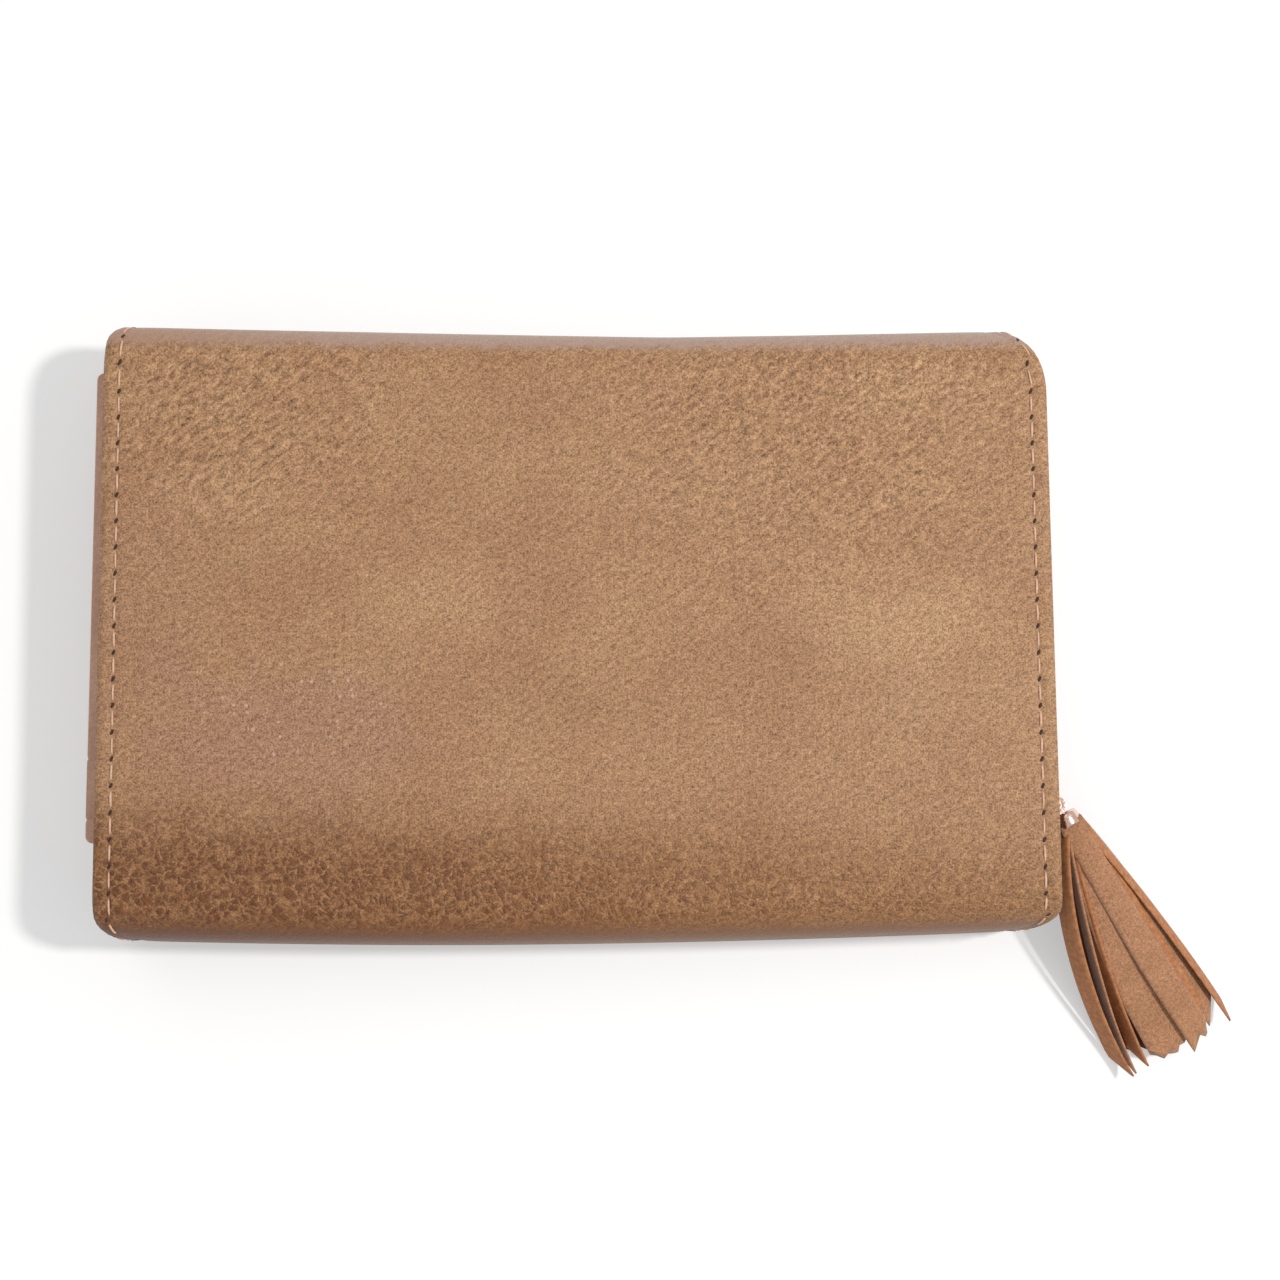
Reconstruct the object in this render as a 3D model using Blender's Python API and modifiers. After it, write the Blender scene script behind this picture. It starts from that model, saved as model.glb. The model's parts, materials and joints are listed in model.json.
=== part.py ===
"""Wristlet wallet: a leather envelope cover, a zip pouch inside it, card slots and a tassel zip pull.

The wallet lies on its closed flap. +Z is up, +X runs along the wallet towards the zip pull, and the
flap fold is on the -Y side. The origin is the middle of the flap's outer face, the face it rests on.
Metres throughout.
"""
import math

import bmesh
import bpy
from mathutils import Matrix, Vector

MM = 0.001

# ---- Driving sizes -------------------------------------------------------------------------------
COVER_WIDTH = 190.0 * MM          # along X
COVER_LENGTH = 122.5 * MM         # along Y, fold to fold
FOLD_RADIUS = 9.0 * MM            # outer radius of every leather fold
LEATHER = 1.2 * MM
BOARD = 0.8 * MM
LINING = 0.5 * MM
GAP = 0.3 * MM                    # left between neighbouring pieces

SNAP_SPACE = 2.4 * MM             # between the flap's lining and the front
SNAP_RADIUS = 7.0 * MM
SNAP_STUD_RADIUS = 2.7 * MM
SNAP_SOCKET_HEIGHT = 1.0 * MM
SNAP_INSET = 14.0 * MM            # from the flap's free edge to the middle of the snap

FRONT_BAY = 2.5 * MM              # between the front's lining and the pouch
POUCH_WALL = 0.8 * MM
POUCH_DEPTH = 4.2 * MM            # inside the pouch
BACK_BAY = 6.2 * MM               # between the pouch and the card slots, where the zip pull runs
CARD_SHEET = 0.4 * MM
CARD_ROWS = 3
CARD_STEP = 12.0 * MM             # each slot's mouth sits this far behind the one below it

FLAP_SHORT = 15.25 * MM           # the flap's free edge stops this far short of the bottom fold
FLAP_CORNER = 8.0 * MM
FRONT_SHORT = 7.25 * MM           # the front's free edge stops this far short of the flap fold
FRONT_CORNER = 6.0 * MM

POUCH_OVERHANG = 4.5 * MM         # how far the pouch stands out of the cover's left side
POUCH_INSET = 1.5 * MM            # how far it sits inside the cover's right side
POUCH_MOUTH_SHORT = 19.25 * MM    # from the flap fold to the pouch's mouth edge
POUCH_FOLD_SHORT = 5.6 * MM       # from the bottom fold to the pouch's folded edge
POUCH_CORNER = 3.0 * MM
ZIP_FROM_MOUTH = 11.0 * MM
ZIP_SLOT = 11.0 * MM              # opening in the pouch's upper wall that shows the zip
COIL_WIDTH = 1.2 * MM
COIL_HEIGHT = 1.3 * MM
COIL_SPACE = 1.2 * MM
TAPE = 0.5 * MM
TAPE_WIDTH = 7.0 * MM
STOP_LENGTH = 1.4 * MM
ZIP_FROM_LEFT = 15.5 * MM         # from the pouch's left side to the end of the coils
ZIP_FROM_RIGHT = 2.9 * MM

SLIDER_LENGTH = 8.4 * MM
SLIDER_WIDTH = 7.0 * MM
SLIDER_PLATE = 0.8 * MM
SLIDER_BRIDGE = 0.6 * MM
BAIL_SPAN = 6.0 * MM              # between the middles of the bail's legs
BAIL_THICK = 0.8 * MM
BAIL_WIDTH = 1.6 * MM
LINK_PITCH = 6.2 * MM             # between the pull link's two holes
LINK_THICK = 1.0 * MM
EYE_HOLE = 0.9 * MM
EYE_RIM = 0.8 * MM
JUMP_RING_RADIUS = 2.0 * MM
JUMP_RING_WIRE = 0.5 * MM
CAP_RADIUS = 2.7 * MM
CAP_LENGTH = 3.0 * MM
NECK = 1.8 * MM                   # from the middle of the cap's eye to the cap
CAP_WALL = 0.5 * MM
TASSEL_ANGLE = math.radians(-61.0)
STRIP_ANGLES = (-76.0, -51.0, -73.0, -55.0, -70.0, -62.0, -67.0, -59.0)   # bottom strip first
STRIP_LENGTH = 50.0 * MM
STRIP_WIDTH = 5.6 * MM
STRIP_THICK = 0.5 * MM
STRIP_PITCH = STRIP_THICK + GAP

D_RING_FROM_LEFT = 11.0 * MM
D_RING_FROM_MOUTH = 9.0 * MM
D_RING_WIRE = 0.8 * MM
D_RING_BAR = 9.0 * MM
D_RING_REACH = 5.6 * MM
TAB_WIDTH = 6.0 * MM
TAB_THICK = 0.6 * MM
TAB_LEG = 3.6 * MM

GUSSET_INSET = 3.4 * MM
GUSSET_THICK = 0.6 * MM
GUSSET_FROM_ZIP = 21.0 * MM

# ---- Heights, from the flap up --------------------------------------------------------------------
FLAP_BOARD_Z = LEATHER + GAP
FLAP_LINING_Z = FLAP_BOARD_Z + BOARD + GAP
FLAP_TOP_Z = FLAP_LINING_Z + LINING
FRONT_Z = FLAP_TOP_Z + SNAP_SPACE
FRONT_BOARD_Z = FRONT_Z + LEATHER + GAP
FRONT_LINING_Z = FRONT_BOARD_Z + BOARD + GAP
FRONT_TOP_Z = FRONT_LINING_Z + LINING
POUCH_LOW_Z = FRONT_TOP_Z + FRONT_BAY
POUCH_HIGH_Z = POUCH_LOW_Z + POUCH_WALL + POUCH_DEPTH
BAY_LOW_Z = POUCH_HIGH_Z + POUCH_WALL
BAY_HIGH_Z = BAY_LOW_Z + BACK_BAY
BACK_LINING_Z = BAY_HIGH_Z + CARD_ROWS * (CARD_SHEET + GAP)
BACK_BOARD_Z = BACK_LINING_Z + LINING + GAP
BACK_LEATHER_Z = BACK_BOARD_Z + BOARD + GAP
THICKNESS = BACK_LEATHER_Z + LEATHER
BAY_MID_Z = (BAY_LOW_Z + BAY_HIGH_Z) / 2

HALF_WIDTH = COVER_WIDTH / 2
HALF_LENGTH = COVER_LENGTH / 2
STRAIGHT_Y = HALF_LENGTH - FOLD_RADIUS        # where the panels stop and the folds begin
BOARD_INSET = 4.0 * MM
LINING_INSET = 1.5 * MM

# ---- Positions, from the cover's own sides and folds ------------------------------------------------
FLAP_REACH = HALF_LENGTH - FLAP_SHORT
SNAP_Y = FLAP_REACH - SNAP_INSET
FRONT_REACH = FRONT_SHORT - HALF_LENGTH
POUCH_LEFT = -HALF_WIDTH - POUCH_OVERHANG
POUCH_RIGHT = HALF_WIDTH - POUCH_INSET
POUCH_MOUTH_Y = POUCH_MOUTH_SHORT - HALF_LENGTH
POUCH_FOLD_Y = HALF_LENGTH - POUCH_FOLD_SHORT
ZIP_Y = POUCH_MOUTH_Y + ZIP_FROM_MOUTH
ZIP_LEFT = POUCH_LEFT + ZIP_FROM_LEFT
ZIP_RIGHT = POUCH_RIGHT - ZIP_FROM_RIGHT
D_RING_X = D_RING_FROM_LEFT - HALF_WIDTH
D_RING_Y = POUCH_MOUTH_Y - D_RING_FROM_MOUTH
GUSSET_X = HALF_WIDTH - GUSSET_INSET
GUSSET_MOUTH_Y = ZIP_Y + GUSSET_FROM_ZIP

# ---- Joint axes -----------------------------------------------------------------------------------
HALF_TURN = math.radians(45.0)
FOLD_DEPTH = FOLD_RADIUS * (1 - math.cos(HALF_TURN))
FLAP_AXIS = Vector((0, FOLD_DEPTH - HALF_LENGTH, FOLD_DEPTH))
SPINE_AXIS = Vector((0, FOLD_DEPTH - HALF_LENGTH, THICKNESS - FOLD_DEPTH))
MOUTH_AXIS = Vector((0, HALF_LENGTH - FOLD_DEPTH, FRONT_Z + FOLD_DEPTH))

TAPE_Z = POUCH_HIGH_Z - GAP - TAPE
COIL_Z = TAPE_Z + TAPE / 2 - COIL_HEIGHT / 2
SLIDER_X = ZIP_RIGHT - GAP - SLIDER_LENGTH / 2
BAIL_LEG_X = SLIDER_X + BAIL_SPAN / 2
LINK_END = Vector((BAIL_LEG_X + LINK_PITCH, ZIP_Y, BAY_MID_Z))
TASSEL_WAY = Vector((math.cos(TASSEL_ANGLE), math.sin(TASSEL_ANGLE), 0))
JUMP_RING_AT = LINK_END + TASSEL_WAY * JUMP_RING_RADIUS
CAP_EYE_AT = JUMP_RING_AT + TASSEL_WAY * JUMP_RING_RADIUS
CAP_START = CAP_EYE_AT + TASSEL_WAY * NECK
CAP_END = CAP_START + TASSEL_WAY * CAP_LENGTH
D_RING_Z = BACK_LINING_Z - GAP - TAB_THICK - GAP - D_RING_WIRE
D_RING_AT = Vector((D_RING_X, D_RING_Y, D_RING_Z))


# ---- Scene, collections and materials ---------------------------------------------------------------
for old in list(bpy.data.objects):
    bpy.data.objects.remove(old, do_unlink=True)

WALLET = bpy.data.collections.new("wristlet_wallet")
bpy.context.scene.collection.children.link(WALLET)


def material(name, colour, roughness, metallic=0.0):
    made = bpy.data.materials.new(name)
    made.use_nodes = True
    shader = made.node_tree.nodes["Principled BSDF"]
    shader.inputs["Base Color"].default_value = (*colour, 1.0)
    shader.inputs["Roughness"].default_value = roughness
    shader.inputs["Metallic"].default_value = metallic
    return made


COVER_LEATHER = material("cover_leather", (0.42, 0.23, 0.13), 0.55)
POUCH_LEATHER = material("pouch_leather", (0.50, 0.28, 0.19), 0.50)
LINING_CLOTH = material("lining_cloth", (0.30, 0.19, 0.12), 0.85)
STIFFENER = material("stiffener_board", (0.45, 0.36, 0.26), 0.90)
ZIP_CLOTH = material("zip_tape", (0.33, 0.19, 0.11), 0.85)
ZIP_COIL = material("zip_coil", (0.28, 0.16, 0.09), 0.45)
ROSE_METAL = material("rose_metal", (0.86, 0.62, 0.52), 0.22, 1.0)
TASSEL_SUEDE = material("tassel_suede", (0.38, 0.20, 0.11), 0.85)


def hold(name, at, parent=None):
    """An empty on a joint's axis, which carries the pieces of one moving body."""
    empty = bpy.data.objects.new(name, None)
    empty.empty_display_size = 0.01
    WALLET.objects.link(empty)
    empty.matrix_world = Matrix.Translation(at)
    empty["at"] = list(at)
    if parent is not None:
        put_under(empty, parent)
    return empty


def put_under(obj, parent):
    obj.parent = parent
    obj.matrix_parent_inverse = Matrix.Translation(-Vector(parent["at"]))


def finish(obj, look, parent):
    for collection in list(obj.users_collection):
        collection.objects.unlink(obj)
    WALLET.objects.link(obj)
    obj.data.materials.clear()
    obj.data.materials.append(look)
    put_under(obj, parent)
    return obj


# ---- Shapes -----------------------------------------------------------------------------------------
def arc(centre, radius, start, end, steps):
    """Points on an arc, from one angle to another in degrees."""
    points = []
    for step in range(steps + 1):
        angle = math.radians(start + (end - start) * step / steps)
        points.append((centre[0] + radius * math.cos(angle), centre[1] + radius * math.sin(angle)))
    return points


def rounded_box(low, high, corner, steps=4):
    """Outline of a rectangle with round corners."""
    return (arc((high[0] - corner, high[1] - corner), corner, 0, 90, steps)
            + arc((low[0] + corner, high[1] - corner), corner, 90, 180, steps)
            + arc((low[0] + corner, low[1] + corner), corner, 180, 270, steps)
            + arc((high[0] - corner, low[1] + corner), corner, 270, 360, steps))


def plate(name, outlines, low, high, look, parent, rotation=(0, 0, 0), at=(0, 0, 0)):
    """A flat outline with holes, extruded from low to high along its own Z."""
    curve = bpy.data.curves.new(name, "CURVE")
    curve.dimensions = "2D"
    curve.fill_mode = "BOTH"
    curve.extrude = (high - low) / 2
    for outline in outlines:
        spline = curve.splines.new("POLY")
        spline.points.add(len(outline) - 1)
        for point, (x, y) in zip(spline.points, outline):
            point.co = (x, y, 0, 1)
        spline.use_cyclic_u = True
    obj = bpy.data.objects.new(name, curve)
    obj.rotation_euler = rotation
    turned = obj.rotation_euler.to_matrix() @ Vector((0, 0, (low + high) / 2))
    obj.location = Vector(at) + turned
    WALLET.objects.link(obj)
    return finish(obj, look, parent)


ACROSS = (math.pi / 2, 0, math.pi / 2)        # an outline in Y and Z, extruded along X


def slab(name, low, high, look, parent, corner=0.0):
    """A sheet, strip or block. With a corner radius, its plan corners are round."""
    if corner > 0:
        outline = rounded_box(low[:2], high[:2], corner)
        return plate(name, [outline], low[2], high[2], look, parent)
    bpy.ops.mesh.primitive_cube_add(size=1)
    obj = bpy.context.object
    obj.name = name
    obj.data.name = name
    size = Vector(high) - Vector(low)
    obj.data.transform(Matrix.Diagonal((*size, 1)))
    obj.location = (Vector(low) + Vector(high)) / 2
    return finish(obj, look, parent)


def sheet(name, rows, thickness, look, parent):
    """A sheet through rows of (y, z, half width), with its thickness on the inner side."""
    mesh = bpy.data.meshes.new(name)
    grid = bmesh.new()
    last = len(rows) - 1
    bmesh.ops.create_grid(grid, x_segments=1, y_segments=last, size=0.5)
    for vert in grid.verts:
        y, z, half = rows[round((vert.co.y + 0.5) * last)]
        vert.co = (math.copysign(half, vert.co.x), y, z)
    grid.to_mesh(mesh)
    grid.free()
    obj = bpy.data.objects.new(name, mesh)
    WALLET.objects.link(obj)
    thick = obj.modifiers.new("thickness", "SOLIDIFY")
    thick.thickness = thickness
    thick.offset = -1
    thick.use_even_offset = True
    return finish(obj, look, parent)


def turned(name, profile, look, parent, at, axis=(0, 0, 1), steps=24):
    """A profile of (radius, height), from the top down its outer side, turned about an axis."""
    mesh = bpy.data.meshes.new(name)
    mesh.from_pydata([(r, 0, h) for r, h in profile], [(i, i + 1) for i in range(len(profile) - 1)], [])
    obj = bpy.data.objects.new(name, mesh)
    WALLET.objects.link(obj)
    screw = obj.modifiers.new("turn", "SCREW")
    screw.steps = steps
    screw.render_steps = steps
    screw.use_merge_vertices = True
    screw.merge_threshold = 0.00001
    obj.rotation_mode = "QUATERNION"
    obj.rotation_quaternion = Vector(axis).to_track_quat("Z", "Y")
    obj.location = at
    return finish(obj, look, parent)


def fold(centre, start, end, steps=6):
    """Rows along a leather fold's outer face, across the whole width."""
    return [(y, z, HALF_WIDTH) for y, z in arc(centre, FOLD_RADIUS, start, end, steps)]


def free_edge(edge_y, inward, z, corner, steps=5):
    """Rows from a free edge with round corners, until the sheet has its full width."""
    rows = []
    for step in range(steps + 1):
        angle = math.radians(90.0 * step / steps)
        half = HALF_WIDTH - corner + corner * math.sin(angle)
        rows.append((edge_y + inward * corner * (1 - math.cos(angle)), z, half))
    return rows


# ---- Bodies -----------------------------------------------------------------------------------------
flap = hold("flap_body", Vector((0, 0, 0)))
flap_spine = hold("flap_spine_body", FLAP_AXIS, flap)
back = hold("back_body", SPINE_AXIS, flap_spine)
pouch = hold("pouch_body", MOUTH_AXIS, back)
front = hold("front_body", MOUTH_AXIS, pouch)
slider = hold("slider_body", Vector((SLIDER_X, ZIP_Y, BAY_LOW_Z)), pouch)
pull = hold("pull_body", Vector((BAIL_LEG_X, ZIP_Y, BAY_MID_Z)), slider)
ring = hold("ring_body", LINK_END, pull)
tassel = hold("tassel_body", JUMP_RING_AT, ring)
strap_ring = hold("strap_ring_body", D_RING_AT, back)

LOW_FOLD = (-STRAIGHT_Y, FOLD_RADIUS)
HIGH_FOLD = (-STRAIGHT_Y, THICKNESS - FOLD_RADIUS)
BACK_FOLD = (STRAIGHT_Y, THICKNESS - FOLD_RADIUS)
FRONT_FOLD = (STRAIGHT_Y, FRONT_Z + FOLD_RADIUS)
HALF_GAP = math.degrees(GAP / 2 / (FOLD_RADIUS - LEATHER))     # half a gap, as an angle in a fold


def make_flap():
    rows = free_edge(FLAP_REACH, -1, 0, FLAP_CORNER)
    sheet("flap_leather", rows + fold(LOW_FOLD, -90, -135 + HALF_GAP), LEATHER, COVER_LEATHER, flap)
    side = HALF_WIDTH - BOARD_INSET
    slab("flap_board", (-side, -STRAIGHT_Y, FLAP_BOARD_Z),
         (side, FLAP_REACH - BOARD_INSET, FLAP_BOARD_Z + BOARD), STIFFENER, flap, FLAP_CORNER)
    side = HALF_WIDTH - LINING_INSET
    slab("flap_lining", (-side, -STRAIGHT_Y, FLAP_LINING_Z),
         (side, FLAP_REACH - LINING_INSET, FLAP_TOP_Z), LINING_CLOTH, flap, FLAP_CORNER)


def make_snap():
    """A stud on the flap's lining that presses into a socket on the front."""
    base_low = FLAP_TOP_Z + GAP
    socket_low = FRONT_Z - GAP - SNAP_SOCKET_HEIGHT
    base_high = socket_low - GAP
    stud_high = socket_low + 0.7 * SNAP_SOCKET_HEIGHT
    turned("snap_stud", [(0, stud_high), (SNAP_STUD_RADIUS, stud_high), (SNAP_STUD_RADIUS, base_high),
                         (SNAP_RADIUS, base_high), (SNAP_RADIUS, base_low), (0, base_low)],
           ROSE_METAL, flap, (0, SNAP_Y, 0))
    hole = SNAP_STUD_RADIUS + 1.5 * GAP
    rim = arc((0, 0), SNAP_RADIUS, 0, 360 - 15, 23)
    bore = arc((0, 0), hole, 0, 360 - 15, 23)
    plate("snap_socket", [rim, bore], socket_low, socket_low + SNAP_SOCKET_HEIGHT, ROSE_METAL, front,
          at=(0, SNAP_Y, 0))


def make_flap_spine():
    rows = fold(LOW_FOLD, -135 - HALF_GAP, -180) + fold(HIGH_FOLD, -180, -225 + HALF_GAP)
    sheet("flap_spine_leather", rows, LEATHER, COVER_LEATHER, flap_spine)
    side = HALF_WIDTH - LINING_INSET
    outer = -HALF_LENGTH + LEATHER + GAP
    slab("flap_spine_lining", (-side, outer, FOLD_RADIUS),
         (side, outer + LINING, THICKNESS - FOLD_RADIUS), LINING_CLOTH, flap_spine)


def make_back():
    rows = fold(HIGH_FOLD, -225 - HALF_GAP, -270) + [(STRAIGHT_Y, THICKNESS, HALF_WIDTH)]
    sheet("back_leather", rows, LEATHER, COVER_LEATHER, back)
    side = HALF_WIDTH - BOARD_INSET
    slab("back_board", (-side, -STRAIGHT_Y, BACK_BOARD_Z), (side, STRAIGHT_Y - GAP, BACK_BOARD_Z + BOARD),
         STIFFENER, back, FLAP_CORNER)
    side = HALF_WIDTH - LINING_INSET
    slab("back_lining", (-side, -STRAIGHT_Y - GAP, BACK_LINING_Z),
         (side, STRAIGHT_Y - GAP, BACK_LINING_Z + LINING), LINING_CLOTH, back)
    rows = fold(BACK_FOLD, 90, 0) + fold(FRONT_FOLD, 0, -45 + HALF_GAP)
    rows[0] = (STRAIGHT_Y + GAP, THICKNESS, HALF_WIDTH)
    sheet("bottom_spine_leather", rows, LEATHER, COVER_LEATHER, back)
    inner = HALF_LENGTH - LEATHER - GAP
    slab("bottom_spine_lining", (-side, inner - LINING, FRONT_Z + FOLD_RADIUS),
         (side, inner, THICKNESS - FOLD_RADIUS), LINING_CLOTH, back)


def make_card_slots():
    """Two columns of card sheets on the back's lining, each row a step further from the mouth."""
    inner = 1.0 * MM
    outer = GUSSET_X - GUSSET_THICK - 2 * GAP
    for row in range(CARD_ROWS):
        high = BACK_LINING_Z - GAP - row * (CARD_SHEET + GAP)
        mouth = POUCH_MOUTH_Y - GAP + row * CARD_STEP
        for side, ends in (("left", (-outer, -inner)), ("right", (inner, outer))):
            slab(f"card_slot_{side}_{row + 1}", (ends[0], mouth, high - CARD_SHEET),
                 (ends[1], STRAIGHT_Y - 2 * GAP, high), POUCH_LEATHER, back)


def make_strap_ring():
    """The tab and D-ring inside the mouth, where a wrist strap clips on."""
    inner = D_RING_WIRE + GAP
    outer = inner + TAB_THICK
    outline = ([(D_RING_Y + TAB_LEG, D_RING_Z + outer)] + arc((D_RING_Y, D_RING_Z), outer, 90, 270, 8)
               + [(D_RING_Y + TAB_LEG, D_RING_Z - outer), (D_RING_Y + TAB_LEG, D_RING_Z - inner)]
               + arc((D_RING_Y, D_RING_Z), inner, 270, 90, 8) + [(D_RING_Y + TAB_LEG, D_RING_Z + inner)])
    plate("strap_tab", [outline], D_RING_X - TAB_WIDTH / 2, D_RING_X + TAB_WIDTH / 2, COVER_LEATHER, back,
          rotation=ACROSS)
    half = D_RING_BAR / 2
    bow = [(half * math.cos(a), -D_RING_REACH * math.sin(a) ** 0.8) for a in
           [math.pi * step / 12 for step in range(13)]]
    curve = bpy.data.curves.new("strap_d_ring", "CURVE")
    curve.dimensions = "3D"
    curve.bevel_depth = D_RING_WIRE
    curve.bevel_resolution = 2
    spline = curve.splines.new("POLY")
    spline.points.add(len(bow) - 1)
    for point, (x, y) in zip(spline.points, bow):
        point.co = (x, y, 0, 1)
    spline.use_cyclic_u = True
    obj = bpy.data.objects.new("strap_d_ring", curve)
    obj.location = D_RING_AT
    WALLET.objects.link(obj)
    finish(obj, ROSE_METAL, strap_ring)


def make_front():
    rows = fold(FRONT_FOLD, -45 - HALF_GAP, -90)
    rows += list(reversed(free_edge(FRONT_REACH, 1, FRONT_Z, FRONT_CORNER)))
    sheet("front_leather", rows, LEATHER, COVER_LEATHER, front)
    side = HALF_WIDTH - BOARD_INSET
    slab("front_board", (-side, FRONT_REACH + BOARD_INSET, FRONT_BOARD_Z),
         (side, STRAIGHT_Y, FRONT_BOARD_Z + BOARD), STIFFENER, front, FRONT_CORNER)
    side = HALF_WIDTH - LINING_INSET
    slab("front_lining", (-side, FRONT_REACH + LINING_INSET, FRONT_LINING_Z),
         (side, STRAIGHT_Y, FRONT_TOP_Z), LINING_CLOTH, front, FRONT_CORNER)


def make_pouch():
    inner_low = POUCH_LOW_Z + POUCH_WALL
    slab("pouch_lower_wall", (POUCH_LEFT, POUCH_MOUTH_Y, POUCH_LOW_Z),
         (POUCH_RIGHT, POUCH_FOLD_Y, inner_low), POUCH_LEATHER, pouch, POUCH_CORNER)
    slab("pouch_upper_wall_mouth", (POUCH_LEFT, POUCH_MOUTH_Y, POUCH_HIGH_Z),
         (POUCH_RIGHT, ZIP_Y - ZIP_SLOT / 2, BAY_LOW_Z), POUCH_LEATHER, pouch)
    slab("pouch_upper_wall_main", (POUCH_LEFT, ZIP_Y + ZIP_SLOT / 2, POUCH_HIGH_Z),
         (POUCH_RIGHT, POUCH_FOLD_Y, BAY_LOW_Z), POUCH_LEATHER, pouch)
    low = inner_low + GAP
    high = POUCH_HIGH_Z - GAP
    inset = POUCH_CORNER
    for name, x0, x1 in (("pouch_side_left", POUCH_LEFT, POUCH_LEFT + POUCH_WALL),
                         ("pouch_side_right", POUCH_RIGHT - POUCH_WALL, POUCH_RIGHT)):
        slab(name, (x0, POUCH_MOUTH_Y + inset, low), (x1, POUCH_FOLD_Y - inset, high), POUCH_LEATHER, pouch)
    for name, y0, y1 in (("pouch_fold_mouth", POUCH_MOUTH_Y, POUCH_MOUTH_Y + POUCH_WALL),
                         ("pouch_fold_bottom", POUCH_FOLD_Y - POUCH_WALL, POUCH_FOLD_Y)):
        slab(name, (POUCH_LEFT + inset, y0, low), (POUCH_RIGHT - inset, y1, high), POUCH_LEATHER, pouch)


def make_zip():
    coil_inner = COIL_SPACE / 2
    coil_outer = coil_inner + COIL_WIDTH
    tape_inner = coil_outer + GAP
    tape_left = POUCH_LEFT + POUCH_WALL + GAP
    tape_right = POUCH_RIGHT - POUCH_WALL - GAP
    for name, way in (("mouth", -1), ("main", 1)):
        y = sorted((ZIP_Y + way * tape_inner, ZIP_Y + way * (tape_inner + TAPE_WIDTH)))
        slab(f"zip_tape_{name}", (tape_left, y[0], TAPE_Z), (tape_right, y[1], TAPE_Z + TAPE),
             ZIP_CLOTH, pouch)
        y = sorted((ZIP_Y + way * coil_inner, ZIP_Y + way * coil_outer))
        slab(f"zip_coil_{name}", (ZIP_LEFT, y[0], COIL_Z), (ZIP_RIGHT, y[1], COIL_Z + COIL_HEIGHT),
             ZIP_COIL, pouch)
    for name, x0 in (("left", ZIP_LEFT - GAP - STOP_LENGTH), ("right", ZIP_RIGHT + GAP)):
        slab(f"zip_stop_{name}", (x0, ZIP_Y - coil_outer, COIL_Z),
             (x0 + STOP_LENGTH, ZIP_Y + coil_outer, COIL_Z + COIL_HEIGHT), ROSE_METAL, pouch)


def make_slider():
    """Two plates either side of the coils, joined by a bridge that runs between them."""
    half = SLIDER_WIDTH / 2
    web = SLIDER_BRIDGE / 2
    low = COIL_Z - GAP - SLIDER_PLATE
    high = COIL_Z + COIL_HEIGHT + GAP + SLIDER_PLATE
    right = [(half, low), (half, low + SLIDER_PLATE), (web, low + SLIDER_PLATE),
             (web, high - SLIDER_PLATE), (half, high - SLIDER_PLATE), (half, high)]
    outline = [(ZIP_Y + y, z) for y, z in right] + [(ZIP_Y - y, z) for y, z in reversed(right)]
    plate("zip_slider", [outline], SLIDER_X - SLIDER_LENGTH / 2, SLIDER_X + SLIDER_LENGTH / 2,
          ROSE_METAL, slider, rotation=ACROSS)
    outer = BAIL_SPAN / 2 + BAIL_THICK / 2
    inner = outer - BAIL_THICK
    foot = high + GAP
    top = BAY_HIGH_Z - 2 * GAP
    arch = [(outer, foot), (outer, top - BAIL_THICK), (outer - BAIL_THICK, top),
            (BAIL_THICK - outer, top), (-outer, top - BAIL_THICK), (-outer, foot),
            (-inner, foot), (-inner, top - BAIL_THICK), (inner, top - BAIL_THICK), (inner, foot)]
    plate("slider_bail", [arch], -BAIL_WIDTH / 2, BAIL_WIDTH / 2, ROSE_METAL, slider,
          rotation=(math.pi / 2, 0, 0), at=(SLIDER_X, ZIP_Y, 0))


def make_pull():
    leg_hole = math.hypot(BAIL_THICK, BAIL_WIDTH) / 2 + GAP
    outline = (arc((0, 0), leg_hole + EYE_RIM, 90, 270, 8)
               + arc((LINK_PITCH, 0), EYE_HOLE + EYE_RIM, -90, 90, 8))
    holes = [arc((0, 0), leg_hole, 0, 330, 11), arc((LINK_PITCH, 0), EYE_HOLE, 0, 330, 11)]
    plate("pull_link", [outline] + holes, -LINK_THICK / 2, LINK_THICK / 2, ROSE_METAL, pull,
          at=(BAIL_LEG_X, ZIP_Y, BAY_MID_Z))
    bpy.ops.mesh.primitive_torus_add(major_radius=JUMP_RING_RADIUS, minor_radius=JUMP_RING_WIRE,
                                     major_segments=20, minor_segments=8)
    torus = bpy.context.object
    torus.name = "jump_ring"
    torus.rotation_euler = (math.pi / 2, 0, TASSEL_ANGLE)
    torus.location = JUMP_RING_AT
    finish(torus, ROSE_METAL, ring)


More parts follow.
